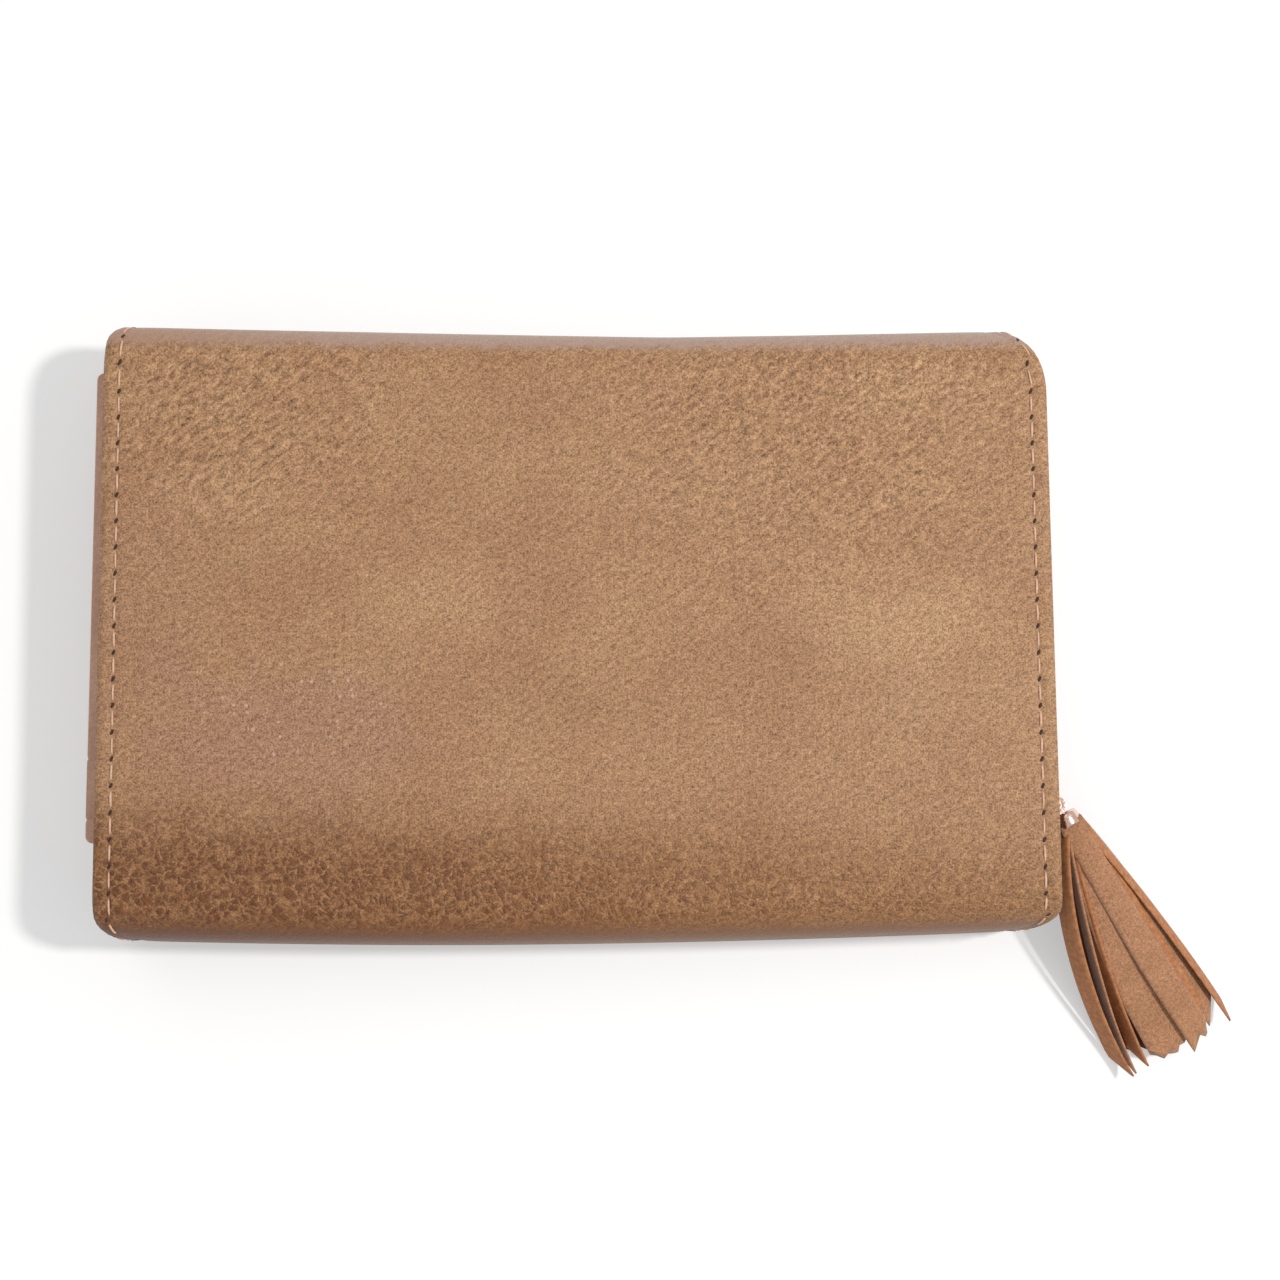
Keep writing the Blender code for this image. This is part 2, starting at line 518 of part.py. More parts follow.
def make_tassel():
    neck = NECK - GAP
    rim = EYE_HOLE + EYE_RIM
    outline = arc((0, 0), rim, 40, 320, 10) + [(neck, -rim * math.sin(math.radians(40))),
                                               (neck, rim * math.sin(math.radians(40)))]
    plate("tassel_eye", [outline, arc((0, 0), EYE_HOLE, 0, 330, 11)], -LINK_THICK / 2, LINK_THICK / 2,
          ROSE_METAL, tassel, rotation=(0, 0, TASSEL_ANGLE), at=CAP_EYE_AT)
    profile = [(0, 0), (CAP_RADIUS, 0), (CAP_RADIUS, -CAP_LENGTH), (CAP_RADIUS - CAP_WALL, -CAP_LENGTH),
               (CAP_RADIUS - CAP_WALL, -CAP_WALL), (0, -CAP_WALL)]
    turned("tassel_cap", profile, ROSE_METAL, tassel, CAP_START, axis=-TASSEL_WAY)
    spread = max(abs(math.radians(angle) - TASSEL_ANGLE) for angle in STRIP_ANGLES)
    root = CAP_END + TASSEL_WAY * (GAP + STRIP_WIDTH / 2 * math.sin(spread))
    stack_low = BAY_MID_Z - STRIP_PITCH * len(STRIP_ANGLES) / 2
    steps = 8
    for number, angle in enumerate(STRIP_ANGLES):
        root_z = stack_low + STRIP_PITCH * number + STRIP_THICK
        tip_z = GAP + STRIP_PITCH * number + STRIP_THICK
        rows = []
        for step in range(steps + 1):
            share = step / steps
            fall = (1 - math.cos(math.pi * share)) / 2
            rows.append((STRIP_LENGTH * share, root_z + (tip_z - root_z) * fall, STRIP_WIDTH / 2))
        strip = sheet(f"tassel_strip_{number + 1}", rows, STRIP_THICK, TASSEL_SUEDE, tassel)
        strip.rotation_euler = (0, 0, math.radians(angle) - math.pi / 2)
        strip.location = (root.x, root.y, 0)


def make_gussets():
    """Soft side walls between the pouch and the panels on either side of it."""
    for side, x in (("left", -GUSSET_X), ("right", GUSSET_X - GUSSET_THICK)):
        for name, low, high in (("back", BAY_LOW_Z, BACK_LINING_Z), ("front", FRONT_TOP_Z, POUCH_LOW_Z)):
            slab(f"gusset_{name}_{side}", (x, GUSSET_MOUTH_Y, low + GAP),
                 (x + GUSSET_THICK, STRAIGHT_Y - 2 * GAP, high - GAP), POUCH_LEATHER, pouch)


make_flap()
make_snap()
make_flap_spine()
make_back()
make_card_slots()
make_strap_ring()
make_front()
make_pouch()
make_zip()
make_slider()
make_pull()
make_tassel()
make_gussets()
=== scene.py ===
"""Looks of the wristlet wallet: pebbled leather cover, stitching, zip pouch, linings and suede tassel."""
import json
import math

import bmesh
import bpy
from mathutils import Matrix, Vector, noise


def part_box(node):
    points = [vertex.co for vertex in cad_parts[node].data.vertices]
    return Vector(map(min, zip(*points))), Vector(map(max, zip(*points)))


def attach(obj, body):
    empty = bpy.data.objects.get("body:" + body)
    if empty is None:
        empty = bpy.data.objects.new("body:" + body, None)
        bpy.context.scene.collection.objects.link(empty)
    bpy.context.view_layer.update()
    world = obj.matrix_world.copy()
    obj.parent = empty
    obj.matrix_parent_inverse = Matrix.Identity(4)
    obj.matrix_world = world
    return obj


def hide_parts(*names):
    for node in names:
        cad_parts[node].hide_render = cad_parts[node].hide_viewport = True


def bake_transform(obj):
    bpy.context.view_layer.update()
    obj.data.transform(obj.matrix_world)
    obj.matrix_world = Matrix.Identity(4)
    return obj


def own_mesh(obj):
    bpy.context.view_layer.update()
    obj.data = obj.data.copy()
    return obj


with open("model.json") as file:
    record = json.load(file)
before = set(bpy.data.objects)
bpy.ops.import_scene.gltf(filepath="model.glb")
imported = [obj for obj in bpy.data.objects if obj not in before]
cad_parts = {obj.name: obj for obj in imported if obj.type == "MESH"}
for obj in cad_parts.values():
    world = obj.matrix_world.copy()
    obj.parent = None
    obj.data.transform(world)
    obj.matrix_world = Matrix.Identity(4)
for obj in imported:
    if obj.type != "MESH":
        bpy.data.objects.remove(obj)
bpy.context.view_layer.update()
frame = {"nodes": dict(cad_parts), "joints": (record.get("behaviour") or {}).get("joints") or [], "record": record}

MM = 0.001

# ---- Sizes read from the frame ----
JOINT = {joint["name"]: joint for joint in frame["joints"]}
BACK_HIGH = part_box("back_leather")[1]
HALF_WIDTH = BACK_HIGH.x
THICKNESS = BACK_HIGH.z
HALF_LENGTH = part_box("bottom_spine_leather")[1].y
FLAP_AXIS_Z = JOINT["flap_fold"]["pos_m"][2]
FOLD_RADIUS = FLAP_AXIS_Z / (1 - math.cos(math.radians(45)))
STRAIGHT = HALF_LENGTH - FOLD_RADIUS
FRONT_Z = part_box("front_leather")[0].z
FLAP_EDGE_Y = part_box("flap_leather")[1].y
FRONT_EDGE_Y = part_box("front_leather")[0].y
LEATHER = 1.2 * MM
LINING = 0.5 * MM

# ---- Stitching and edges ----
STITCH_PITCH = 5.35 * MM
STITCH_LENGTH = 3.5 * MM
STITCH_INSET = 3.3 * MM
THREAD = 0.23 * MM
HOLE_LENGTH = 1.1 * MM
HOLE_RADIUS = 0.30 * MM
FLAP_CORNER = 8.0 * MM
FRONT_CORNER = 6.0 * MM

# The cover's corners at each fold, seen from above: how far they draw in and from how far away (mm)
FLAP_FOLD_CORNERS = {-1: (3.2, 4.4), 1: (4.2, 5.0)}
BOTTOM_FOLD_CORNERS = {-1: (2.2, 3.4), 1: (9.5, 12.0)}


def colour(red, green, blue):
    """A linear colour from its 0 to 255 screen values."""
    def linear(value):
        share = value / 255
        return share / 12.92 if share <= 0.04045 else ((share + 0.055) / 1.055) ** 2.4
    return (linear(red), linear(green), linear(blue), 1.0)


# ---- The cover's path ----
class Path:
    """The cover's outer face in section, as one run from the flap's free edge to the front's."""

    def __init__(self):
        quarter = FOLD_RADIUS * math.pi / 2
        high = THICKNESS - FOLD_RADIUS
        low = FOLD_RADIUS
        front_low = FRONT_Z + FOLD_RADIUS
        self.parts = []
        self.add_line((FLAP_EDGE_Y, 0), (-STRAIGHT, 0))
        self.add_fold((-STRAIGHT, low), -90, quarter)
        self.add_line((-HALF_LENGTH, low), (-HALF_LENGTH, high))
        self.add_fold((-STRAIGHT, high), -180, quarter)
        self.add_line((-STRAIGHT, THICKNESS), (STRAIGHT, THICKNESS))
        self.add_fold((STRAIGHT, high), 90, quarter)
        self.add_line((HALF_LENGTH, high), (HALF_LENGTH, front_low))
        self.add_fold((STRAIGHT, front_low), 0, quarter)
        self.add_line((STRAIGHT, FRONT_Z), (FRONT_EDGE_Y, FRONT_Z))
        self.starts = [0.0]
        for part in self.parts:
            self.starts.append(self.starts[-1] + part[-1])
        self.total = self.starts[-1]

    def add_line(self, start, end):
        self.parts.append(("line", start, end, math.dist(start, end)))

    def add_fold(self, centre, angle, length):
        self.parts.append(("fold", centre, angle, length))

    def at(self, run):
        """Point (y, z) and outward normal (y, z) at a run along the path."""
        run = min(max(run, 0.0), self.total)
        index = 0
        while index < len(self.parts) - 1 and run > self.starts[index + 1]:
            index += 1
        kind, first, second, length = self.parts[index]
        share = (run - self.starts[index]) / length
        if kind == "line":
            y = first[0] + (second[0] - first[0]) * share
            z = first[1] + (second[1] - first[1]) * share
            way_y, way_z = (second[0] - first[0]) / length, (second[1] - first[1]) / length
            return (y, z), (-way_z, way_y)
        angle = math.radians(second - 90 * share)
        normal = (math.cos(angle), math.sin(angle))
        return (first[0] + FOLD_RADIUS * normal[0], first[1] + FOLD_RADIUS * normal[1]), normal

    def middle(self, index):
        return (self.starts[index] + self.starts[index + 1]) / 2


PATH = Path()
FLAP_SPINE_RUN = PATH.middle(2)
BOTTOM_SPINE_RUN = PATH.middle(6)
MOUTH_RUN = PATH.middle(7)


def smooth(low, high, value):
    share = min(max((value - low) / (high - low), 0.0), 1.0)
    return share * share * (3 - 2 * share)


def fold_nearness(run, first, last, reach):
    """1 on a fold, falling to 0 a reach before and after it."""
    start = PATH.starts[first]
    end = PATH.starts[last]
    return smooth(start - reach, start + 0.85 * FOLD_RADIUS, run) * (
        1 - smooth(end - 0.85 * FOLD_RADIUS, end + reach, run))


def corner_draw(distance, corner):
    """How far a round corner draws the side in, at a distance from the free edge."""
    if distance >= corner:
        return 0.0
    return corner - math.sqrt(max(corner ** 2 - (corner - distance) ** 2, 0.0))


def half_width(run, side, draw_in=1.0):
    """Half width of the cover on the left (-1) or right (+1); draw_in scales the folds' corners."""
    (y, z), normal = PATH.at(run)
    draw, reach = (FLAP_FOLD_CORNERS if y < 0 else BOTTOM_FOLD_CORNERS)[side]
    share = max(0.0, 1 - (HALF_LENGTH - abs(y)) / (reach * MM))
    width = HALF_WIDTH - draw_in * draw * MM * (1 - math.sqrt(max(1 - share * share, 0.0)))
    splay = 0.9 * MM - 0.006 * y if side > 0 else 0.9 * MM + 0.004 * y
    width += splay * smooth(THICKNESS / 2, THICKNESS, z)
    width -= corner_draw(run, FLAP_CORNER)
    width -= corner_draw(PATH.total - run, FRONT_CORNER)
    return width


def puff(x, run):
    """How far the leather stands out of the flat: the slow waves of a soft cover over its boards."""
    (y, z), normal = PATH.at(run)
    place = Vector((x, y, z)) / (38 * MM)
    wave = noise.noise(place) * 0.5 + noise.noise(place * 2.3 + Vector((4, 1, 7))) * 0.25
    flat = abs(normal[1])
    return (0.10 + 0.35 * (wave + 0.5)) * MM * flat


def fold_bulge(x, y):
    """The two long folds aren't straight: one is slack in its middle and the other swells."""
    across = x / HALF_WIDTH
    if y > 0:
        return (1.0 + 1.9 * abs(across - 0.2) ** 1.2) * MM
    return (1.05 - 1.9 * abs(across + 0.3) ** 1.8) * MM


def surface(x, run, depth):
    """The point at a depth under the cover's outer face."""
    (y, z), normal = PATH.at(run)
    out = puff(x, run) - depth
    return Vector((x, y + normal[0] * (out + fold_bulge(x, y)), z + normal[1] * out))


# ---- Mesh helpers ----
def make_object(name, verts, faces, uvs=None):
    mesh = bpy.data.meshes.new(name)
    mesh.from_pydata([tuple(v) for v in verts], [], faces)
    if uvs is not None:
        layer = mesh.uv_layers.new(name="flat")
        for loop in mesh.loops:
            layer.data[loop.index].uv = uvs[loop.vertex_index]
    mesh.polygons.foreach_set("use_smooth", [True] * len(mesh.polygons))
    obj = bpy.data.objects.new(name, mesh)
    bpy.context.scene.collection.objects.link(obj)
    return obj


def skin(rows, size, base=0, closed=False):
    """Faces between rows of points that are closed rings; closed joins the last row to the first."""
    faces = []
    for row in range(rows if closed else rows - 1):
        here = base + row * size
        there = base + (row + 1) % rows * size
        for step in range(size):
            beside = (step + 1) % size
            faces.append((here + step, here + beside, there + beside, there + step))
    return faces


def loft(name, rings, uv_rings):
    """Skins rings of points into one closed body; the ends are fans about their middles."""
    verts = [point for ring in rings for point in ring]
    uvs = [uv for ring in uv_rings for uv in ring]
    size = len(rings[0])
    faces = skin(len(rings), size)
    for row, flip in ((0, True), (len(rings) - 1, False)):
        ring = [row * size + step for step in range(size)]
        hub = len(verts)
        verts.append(sum((Vector(verts[i]) for i in ring), Vector()) / size)
        uvs.append(uvs[ring[0]])
        for step in range(size):
            pair = (ring[step], ring[(step + 1) % size])
            faces.append((pair[1], pair[0], hub) if flip else (pair[0], pair[1], hub))
    return make_object(name, verts, faces, uvs)


def tubes_object(name, tubes):
    """Several closed tubes in one mesh."""
    verts = []
    faces = []
    for rings in tubes:
        base = len(verts)
        size = len(rings[0])
        verts += [point for ring in rings for point in ring]
        faces += skin(len(rings), size, base)
        faces.append(tuple(base + step for step in reversed(range(size))))
        top = base + (len(rings) - 1) * size
        faces.append(tuple(top + step for step in range(size)))
    return make_object(name, verts, faces)


def tube(points, radius, sides=8, flatten=1.0, up=Vector((0, 0, 1))):
    """Rings of a tube with round ends along points."""
    rings = []
    count = len(points)
    for index, point in enumerate(points):
        before = points[max(index - 1, 0)]
        after = points[min(index + 1, count - 1)]
        way = (Vector(after) - Vector(before)).normalized()
        side = way.cross(up).normalized()
        over = side.cross(way)
        share = index / (count - 1)
        end = min(share, 1 - share) * 2
        size = radius * math.sqrt(max(0.08, 1 - (1 - min(end * 2.2, 1.0)) ** 2))
        rings.append([Vector(point) + side * size * math.cos(a) + over * size * flatten * math.sin(a)
                      for a in [2 * math.pi * k / sides for k in range(sides)]])
    return rings


# ---- Cover ----
EDGE_STEPS = [0.0, 0.12, 0.35, 0.7, 1.1, 1.6, 2.1, 2.45, 2.8, 3.15, 3.5, 4.1, 5.0, 6.5, 8.5]
MIDDLE_STEPS = 56


def edge_depth(distance, run, stitched=True):
    """How far the outer face lies under the flat near a side edge: a rolled edge and a stitched groove."""
    near = distance / MM
    roll = 0.5 * max(0.0, 1 - near / 1.1) ** 2
    crown = -0.10 * math.exp(-((near - 1.5) / 0.6) ** 2)
    groove = 0.0
    if stitched:
        beat = 0.5 + 0.5 * math.cos(2 * math.pi * run / STITCH_PITCH)
        groove = (0.13 + 0.10 * beat) * math.exp(-((near - STITCH_INSET / MM) / 0.45) ** 2)
    soft = 0.22 * max(0.0, 1 - near / 9) ** 2
    return (roll + crown + groove + soft) * MM


def side_stations(run, inset):
    """Places across the cover, from the left edge to the right one: (x, distance from its edge)."""
    left = half_width(run, -1) - inset
    right = half_width(run, 1) - inset
    stations = [(-left + step * MM, step * MM) for step in EDGE_STEPS]
    last = EDGE_STEPS[-1] * MM
    for step in range(1, MIDDLE_STEPS):
        x = (-left + last) + (left + right - 2 * last) * step / MIDDLE_STEPS
        stations.append((x, min(x + left, right - x)))
    stations += [(right - step * MM, step * MM) for step in reversed(EDGE_STEPS)]
    return stations


def cover_sheet(name, first, last, thick=LEATHER, inset=0.0, stitched=True, row=1.7 * MM,
                depth_of=None):
    """A stretch of the cover, or of a lining under it, as a sheet with rolled edges."""
    rows = max(2, round((last - first) / row))
    rings = []
    uv_rings = []
    for index in range(rows + 1):
        run = first + (last - first) * index / rows
        under = depth_of(run) if depth_of else 0.0
        stations = side_stations(run, inset)
        ring = []
        uvs = []
        for x, distance in stations:
            ring.append(surface(x, run, under + edge_depth(distance, run, stitched)))
            uvs.append((x, run))
        for x, distance in reversed(stations):
            tuck = 0.25 * thick * max(0.0, 1 - distance / (0.5 * MM))
            ring.append(surface(x, run, under + thick - tuck + 0.05 * MM))
            uvs.append((x, run))
        rings.append(ring)
        uv_rings.append(uvs)
    return loft(name, rings, uv_rings)


def lining_depth(run):
    """The lining lies over a board on the panels and straight on the leather at the folds."""
    over_board = 2.6 * MM
    on_leather = 1.35 * MM
    bend = max(fold_nearness(run, 1, 4, 3 * MM), fold_nearness(run, 5, 8, 3 * MM))
    return over_board + (on_leather - over_board) * min(1.0, bend * 1.3)


def stitch_run(name, spots):
    """Stitches at (x, run, way x, way run): a thread sunk at both ends, and after it a dark flat disc, painted
    shade for the needle hole.
    """
    threads = []
    hole_shades = []
    for number, (x, run, way_x, way_run) in enumerate(spots):
        points = []
        for step in range(7):
            share = step / 6 - 0.5
            lift = 0.15 - 1.5 * abs(share) ** 2.5
            lean = 0.10 * MM * math.sin(number * 2.1) * share
            points.append(surface(x + way_x * STITCH_LENGTH * share + lean * way_run,
                                  run + way_run * STITCH_LENGTH * share, (0.22 - lift) * MM))
        (y, z), normal = PATH.at(run)
        up = Vector((0, normal[0], normal[1]))
        threads.append(tube(points, THREAD * (1 + 0.12 * math.sin(number * 3.7)), 8, 0.8, up))
        # a dark flattened disc on the leather: painted shade of the needle hole
        ends = []
        for step in range(5):
            share = step / 4 - 0.5
            past = STITCH_PITCH / 2 + HOLE_LENGTH * share
            hole_x = x + way_x * past + 0.5 * MM * share * way_run
            hole_run = run + way_run * past - 0.35 * MM * share * way_x
            ends.append(surface(hole_x, hole_run, 0.13 * MM))
        hole_shades.append(tube(ends, HOLE_RADIUS, 8, 0.25, up))
    return tubes_object(f"{name}_thread", threads), tubes_object(f"{name}_hole", hole_shades)


def side_spots(first, last):
    """Stitches down both sides between two runs."""
    spots = []
    number = math.ceil(first / STITCH_PITCH)
    while number * STITCH_PITCH < last:
        run = number * STITCH_PITCH
        for side in (-1, 1):
            ahead = (half_width(run + MM, side) - half_width(run - MM, side)) / (2 * MM)
            way = Vector((side * ahead, 1)).normalized()
            out = min(half_width(run, side, 0.25) - STITCH_INSET, half_width(run, side) - 1.1 * MM)
            spots.append((side * out, run, way.x, way.y))
        number += 1
    return spots


def edge_spots(run, corner):
    """Stitches along a free edge, between its corners."""
    reach = HALF_WIDTH - corner - 1.5 * MM
    count = round(2 * reach / STITCH_PITCH)
    return [(-reach + 2 * reach * step / count, run, 1, 0) for step in range(count + 1)]


# ---- Node groups and materials ----
class Nodes:
    """A short way to place and join shader nodes."""

    def __init__(self, tree):
        self.tree = tree

    def add(self, kind, **values):
        node = self.tree.nodes.new(kind)
        for key, value in values.items():
            if hasattr(node, key) and key not in node.inputs:
                setattr(node, key, value)
            else:
                self.put(node.inputs[key], value)
        return node

    def put(self, socket, value):
        if isinstance(value, bpy.types.NodeSocket):
            self.tree.links.new(value, socket)
        else:
            socket.default_value = value

    def math(self, operation, *values):
        node = self.tree.nodes.new("ShaderNodeMath")
        node.operation = operation
        for socket, value in zip(node.inputs, values):
            self.put(socket, value)
        return node.outputs[0]

    def plus(self, first, second):
        return self.math("ADD", first, second)

    def minus(self, first, second):
        return self.math("SUBTRACT", first, second)

    def times(self, first, second):
        return self.math("MULTIPLY", first, second)

    def vectors(self, operation, *values):
        """Vector maths; a length comes out as a value."""
        node = self.tree.nodes.new("ShaderNodeVectorMath")
        node.operation = operation
        for socket, value in zip(node.inputs, values):
            self.put(socket, value)
        return node.outputs["Value" if operation == "LENGTH" else "Vector"]

    def span(self, value, low, high, out_low=0.0, out_high=1.0, easing="SMOOTHSTEP"):
        node = self.tree.nodes.new("ShaderNodeMapRange")
        node.interpolation_type = easing
        for socket, setting in zip(node.inputs[:5], (value, low, high, out_low, out_high)):
            self.put(socket, setting)
        return node.outputs[0]

    def mix(self, share, first, second, blend="MIX"):
        node = self.tree.nodes.new("ShaderNodeMix")
        node.data_type = "RGBA"
        node.blend_type = blend
        self.put(node.inputs[0], share)
        self.put(node.inputs[6], first)
        self.put(node.inputs[7], second)
        return node.outputs[2]

    def noise(self, vector, scale, detail=2.0, rough=0.5, warp=0.0):
        node = self.tree.nodes.new("ShaderNodeTexNoise")
        self.put(node.inputs["Vector"], vector)
        node.inputs["Scale"].default_value = scale
        node.inputs["Detail"].default_value = detail
        node.inputs["Roughness"].default_value = rough
        node.inputs["Distortion"].default_value = warp
        return node.outputs


def new_group(name, inputs, outputs):
    tree = bpy.data.node_groups.new(name, "ShaderNodeTree")
    for label, kind, value in inputs:
        socket = tree.interface.new_socket(name=label, in_out="INPUT", socket_type=kind)
        if value is not None:
            socket.default_value = value
    for label, kind in outputs:
        tree.interface.new_socket(name=label, in_out="OUTPUT", socket_type=kind)
    nodes = Nodes(tree)
    return nodes, tree.nodes.new("NodeGroupInput"), tree.nodes.new("NodeGroupOutput")


FLOAT = "NodeSocketFloat"
VECTOR = "NodeSocketVector"


def make_pebble_group():
    """Pebbled grain: uneven dark cells with a paler network of creases between them."""
    nodes, given, out = new_group(
        "pebble_grain", [("Place", VECTOR, None), ("Cell Size", FLOAT, 0.0018)],
        [("Blotch", FLOAT), ("Net", FLOAT), ("Height", FLOAT)])
    scale = nodes.math("DIVIDE", 1.0, given.outputs["Cell Size"])
    place = given.outputs["Place"]
    for noise_scale, reach in ((330.0, 2.6 * MM), (1400.0, 1.3 * MM)):
        warp = nodes.noise(given.outputs["Place"], noise_scale, 2.0)["Color"]
        place = nodes.vectors("MULTIPLY_ADD", warp, (reach, reach, 0.0), place)
    edge = nodes.add("ShaderNodeTexVoronoi", feature="DISTANCE_TO_EDGE", Vector=place, Scale=scale)
    cell = nodes.add("ShaderNodeTexVoronoi", feature="F1", Vector=place, Scale=scale)
    tone = nodes.add("ShaderNodeSeparateColor", Color=cell.outputs["Color"]).outputs[0]
    inside = nodes.span(edge.outputs["Distance"], 0.03, 0.36)
    cloud = nodes.span(nodes.noise(given.outputs["Place"], 700.0, 3.0, 0.6)["Fac"], 0.28, 0.60)
    blotch = nodes.times(inside, nodes.span(tone, 0.0, 1.0, 0.45, 1.0, "LINEAR"))
    nodes.put(out.inputs["Blotch"], nodes.times(blotch, cloud))
    net = nodes.span(edge.outputs["Distance"], 0.0, 0.24, 1.0, 0.0)
    faded = nodes.span(nodes.noise(place, 480.0, 3.0, 0.6)["Fac"], 0.3, 0.62, 0.3, 1.0)
    net = nodes.times(net, faded)
    nodes.put(out.inputs["Net"], net)
    nodes.put(out.inputs["Height"], nodes.minus(inside, net))
    return nodes.tree


def make_speck_group():
    """Fine pores and flecks: a factor about 1, and a height."""
    nodes, given, out = new_group(
        "leather_specks",
        [("Place", VECTOR, None), ("Fine", FLOAT, 1.0), ("Middling", FLOAT, 1.0), ("Streak", FLOAT, 0.0)],
        [("Factor", FLOAT), ("Height", FLOAT)])
    fine = nodes.noise(given.outputs["Place"], 2700.0, 1.0, 0.6)["Fac"]
    middling = nodes.noise(given.outputs["Place"], 1150.0, 2.0, 0.6)["Fac"]
    turned = nodes.add("ShaderNodeVectorRotate", rotation_type="Z_AXIS", Vector=given.outputs["Place"],
                       Angle=math.radians(-36))
    drawn = nodes.vectors("MULTIPLY", turned.outputs[0], (0.42, 1.0, 1.0))
    streak = nodes.noise(drawn, 900.0, 2.0, 0.55)["Fac"]
    total = nodes.times(nodes.minus(fine, 0.5), given.outputs["Fine"])
    for source, strength in ((middling, "Middling"), (streak, "Streak")):
        part = nodes.times(nodes.minus(source, 0.5), given.outputs[strength])
        total = nodes.plus(total, part)
    nodes.put(out.inputs["Factor"], nodes.math("MAXIMUM", nodes.plus(total, 1.0), 0.15))
    nodes.put(out.inputs["Height"], total)
    return nodes.tree


def make_patch_group():
    """A soft round patch of dye with a ragged edge."""
    nodes, given, out = new_group(
        "dye_patch",
        [("Place", VECTOR, None), ("Centre", VECTOR, None), ("Size", VECTOR, (0.03, 0.03, 1.0)),
         ("Rag", FLOAT, 0.35)], [("Mask", FLOAT)])
    offset = nodes.vectors("SUBTRACT", given.outputs["Place"], given.outputs["Centre"])
    length = nodes.vectors("LENGTH", nodes.vectors("DIVIDE", offset, given.outputs["Size"]))
    cloud = nodes.noise(given.outputs["Place"], 95.0, 4.0, 0.6)["Fac"]
    rag = nodes.times(nodes.minus(cloud, 0.5), nodes.times(given.outputs["Rag"], 4.0))
    nodes.put(out.inputs["Mask"], nodes.span(nodes.plus(length, rag), 0.15, 1.15, 1.0, 0.0))
    return nodes.tree


PEBBLE = make_pebble_group()
PATCH = make_patch_group()
SPECKS = make_speck_group()


def new_material(name, roughness, metallic=0.0, **sockets):
    made = bpy.data.materials.new(name)
    made.use_nodes = True
    shader = made.node_tree.nodes["Principled BSDF"]
    shader.inputs["Roughness"].default_value = roughness
    shader.inputs["Metallic"].default_value = metallic
    for label, value in sockets.items():
        shader.inputs[label.replace("_", " ")].default_value = value
    return made, Nodes(made.node_tree), shader


def placed(nodes, tree, **values):
    group = nodes.tree.nodes.new("ShaderNodeGroup")
    group.node_tree = tree
    for label, value in values.items():
        nodes.put(group.inputs[label.replace("_", " ")], value)
    return group.outputs


def finish_look(nodes, shader, tint, roughness, height, relief, strength):
    """Joins a material's colour, roughness and relief to its shader."""
    nodes.put(shader.inputs["Base Color"], tint)
    nodes.put(shader.inputs["Roughness"], roughness)
    node = nodes.add("ShaderNodeBump", Strength=strength, Distance=relief, Height=height)
    nodes.put(shader.inputs["Normal"], node.outputs[0])


# Patches of dye on the cover: centre across and along the run, size each way, colour and strength
BACK_MIDDLE = PATH.middle(4)
LIGHT_TAN = colour(196, 158, 122)
WARM_TAN = colour(184, 146, 112)
DEEP_TAN = colour(120, 76, 42)
ROSE_TAN = colour(172, 130, 108)
DYE_DEPTH = (0.70, 0.65, 0.575, 1)
SPECK_FINE = 1.75
SPECK_MIDDLING = 1.25
DYE_PATCHES = [
    ((62, 2), (26, 13), LIGHT_TAN, 0.75),
    ((70, -14), (16, 9), WARM_TAN, 0.5),
    ((-26, 6), (20, 12), LIGHT_TAN, 0.45),
    ((-44, -12), (16, 12), WARM_TAN, 0.5),
    ((-72, 28), (22, 8), LIGHT_TAN, 0.45),
    ((72, 48), (22, 12), LIGHT_TAN, 0.35),
    ((20, 30), (28, 12), WARM_TAN, 0.35),
    ((46, -2), (16, 10), DEEP_TAN, 0.10),
    ((-2, -14), (18, 10), DEEP_TAN, 0.14),
    ((40, 22), (10, 14), DEEP_TAN, 0.08),
    ((-60, -22), (42, 22), ROSE_TAN, 0.65),
    ((-86, 5), (18, 40), ROSE_TAN, 0.35),
]


def scaled(nodes, tint, factor):
    """A colour times a value."""
    node = nodes.add("ShaderNodeVectorMath", operation="SCALE")
    nodes.put(node.inputs[0], tint)
    nodes.put(node.inputs["Scale"], factor)
    return node.outputs[0]


def grained_dye(nodes, tint, factor):
    """A colour with fine grain: dark grains turn browner, pale ones whiter."""
    grain = nodes.add("ShaderNodeCombineXYZ")
    for socket, power in zip(grain.inputs, (1.0, 1.14, 1.32)):
        nodes.put(socket, nodes.math("POWER", factor, power))
    return nodes.vectors("MULTIPLY", tint, grain.outputs[0])


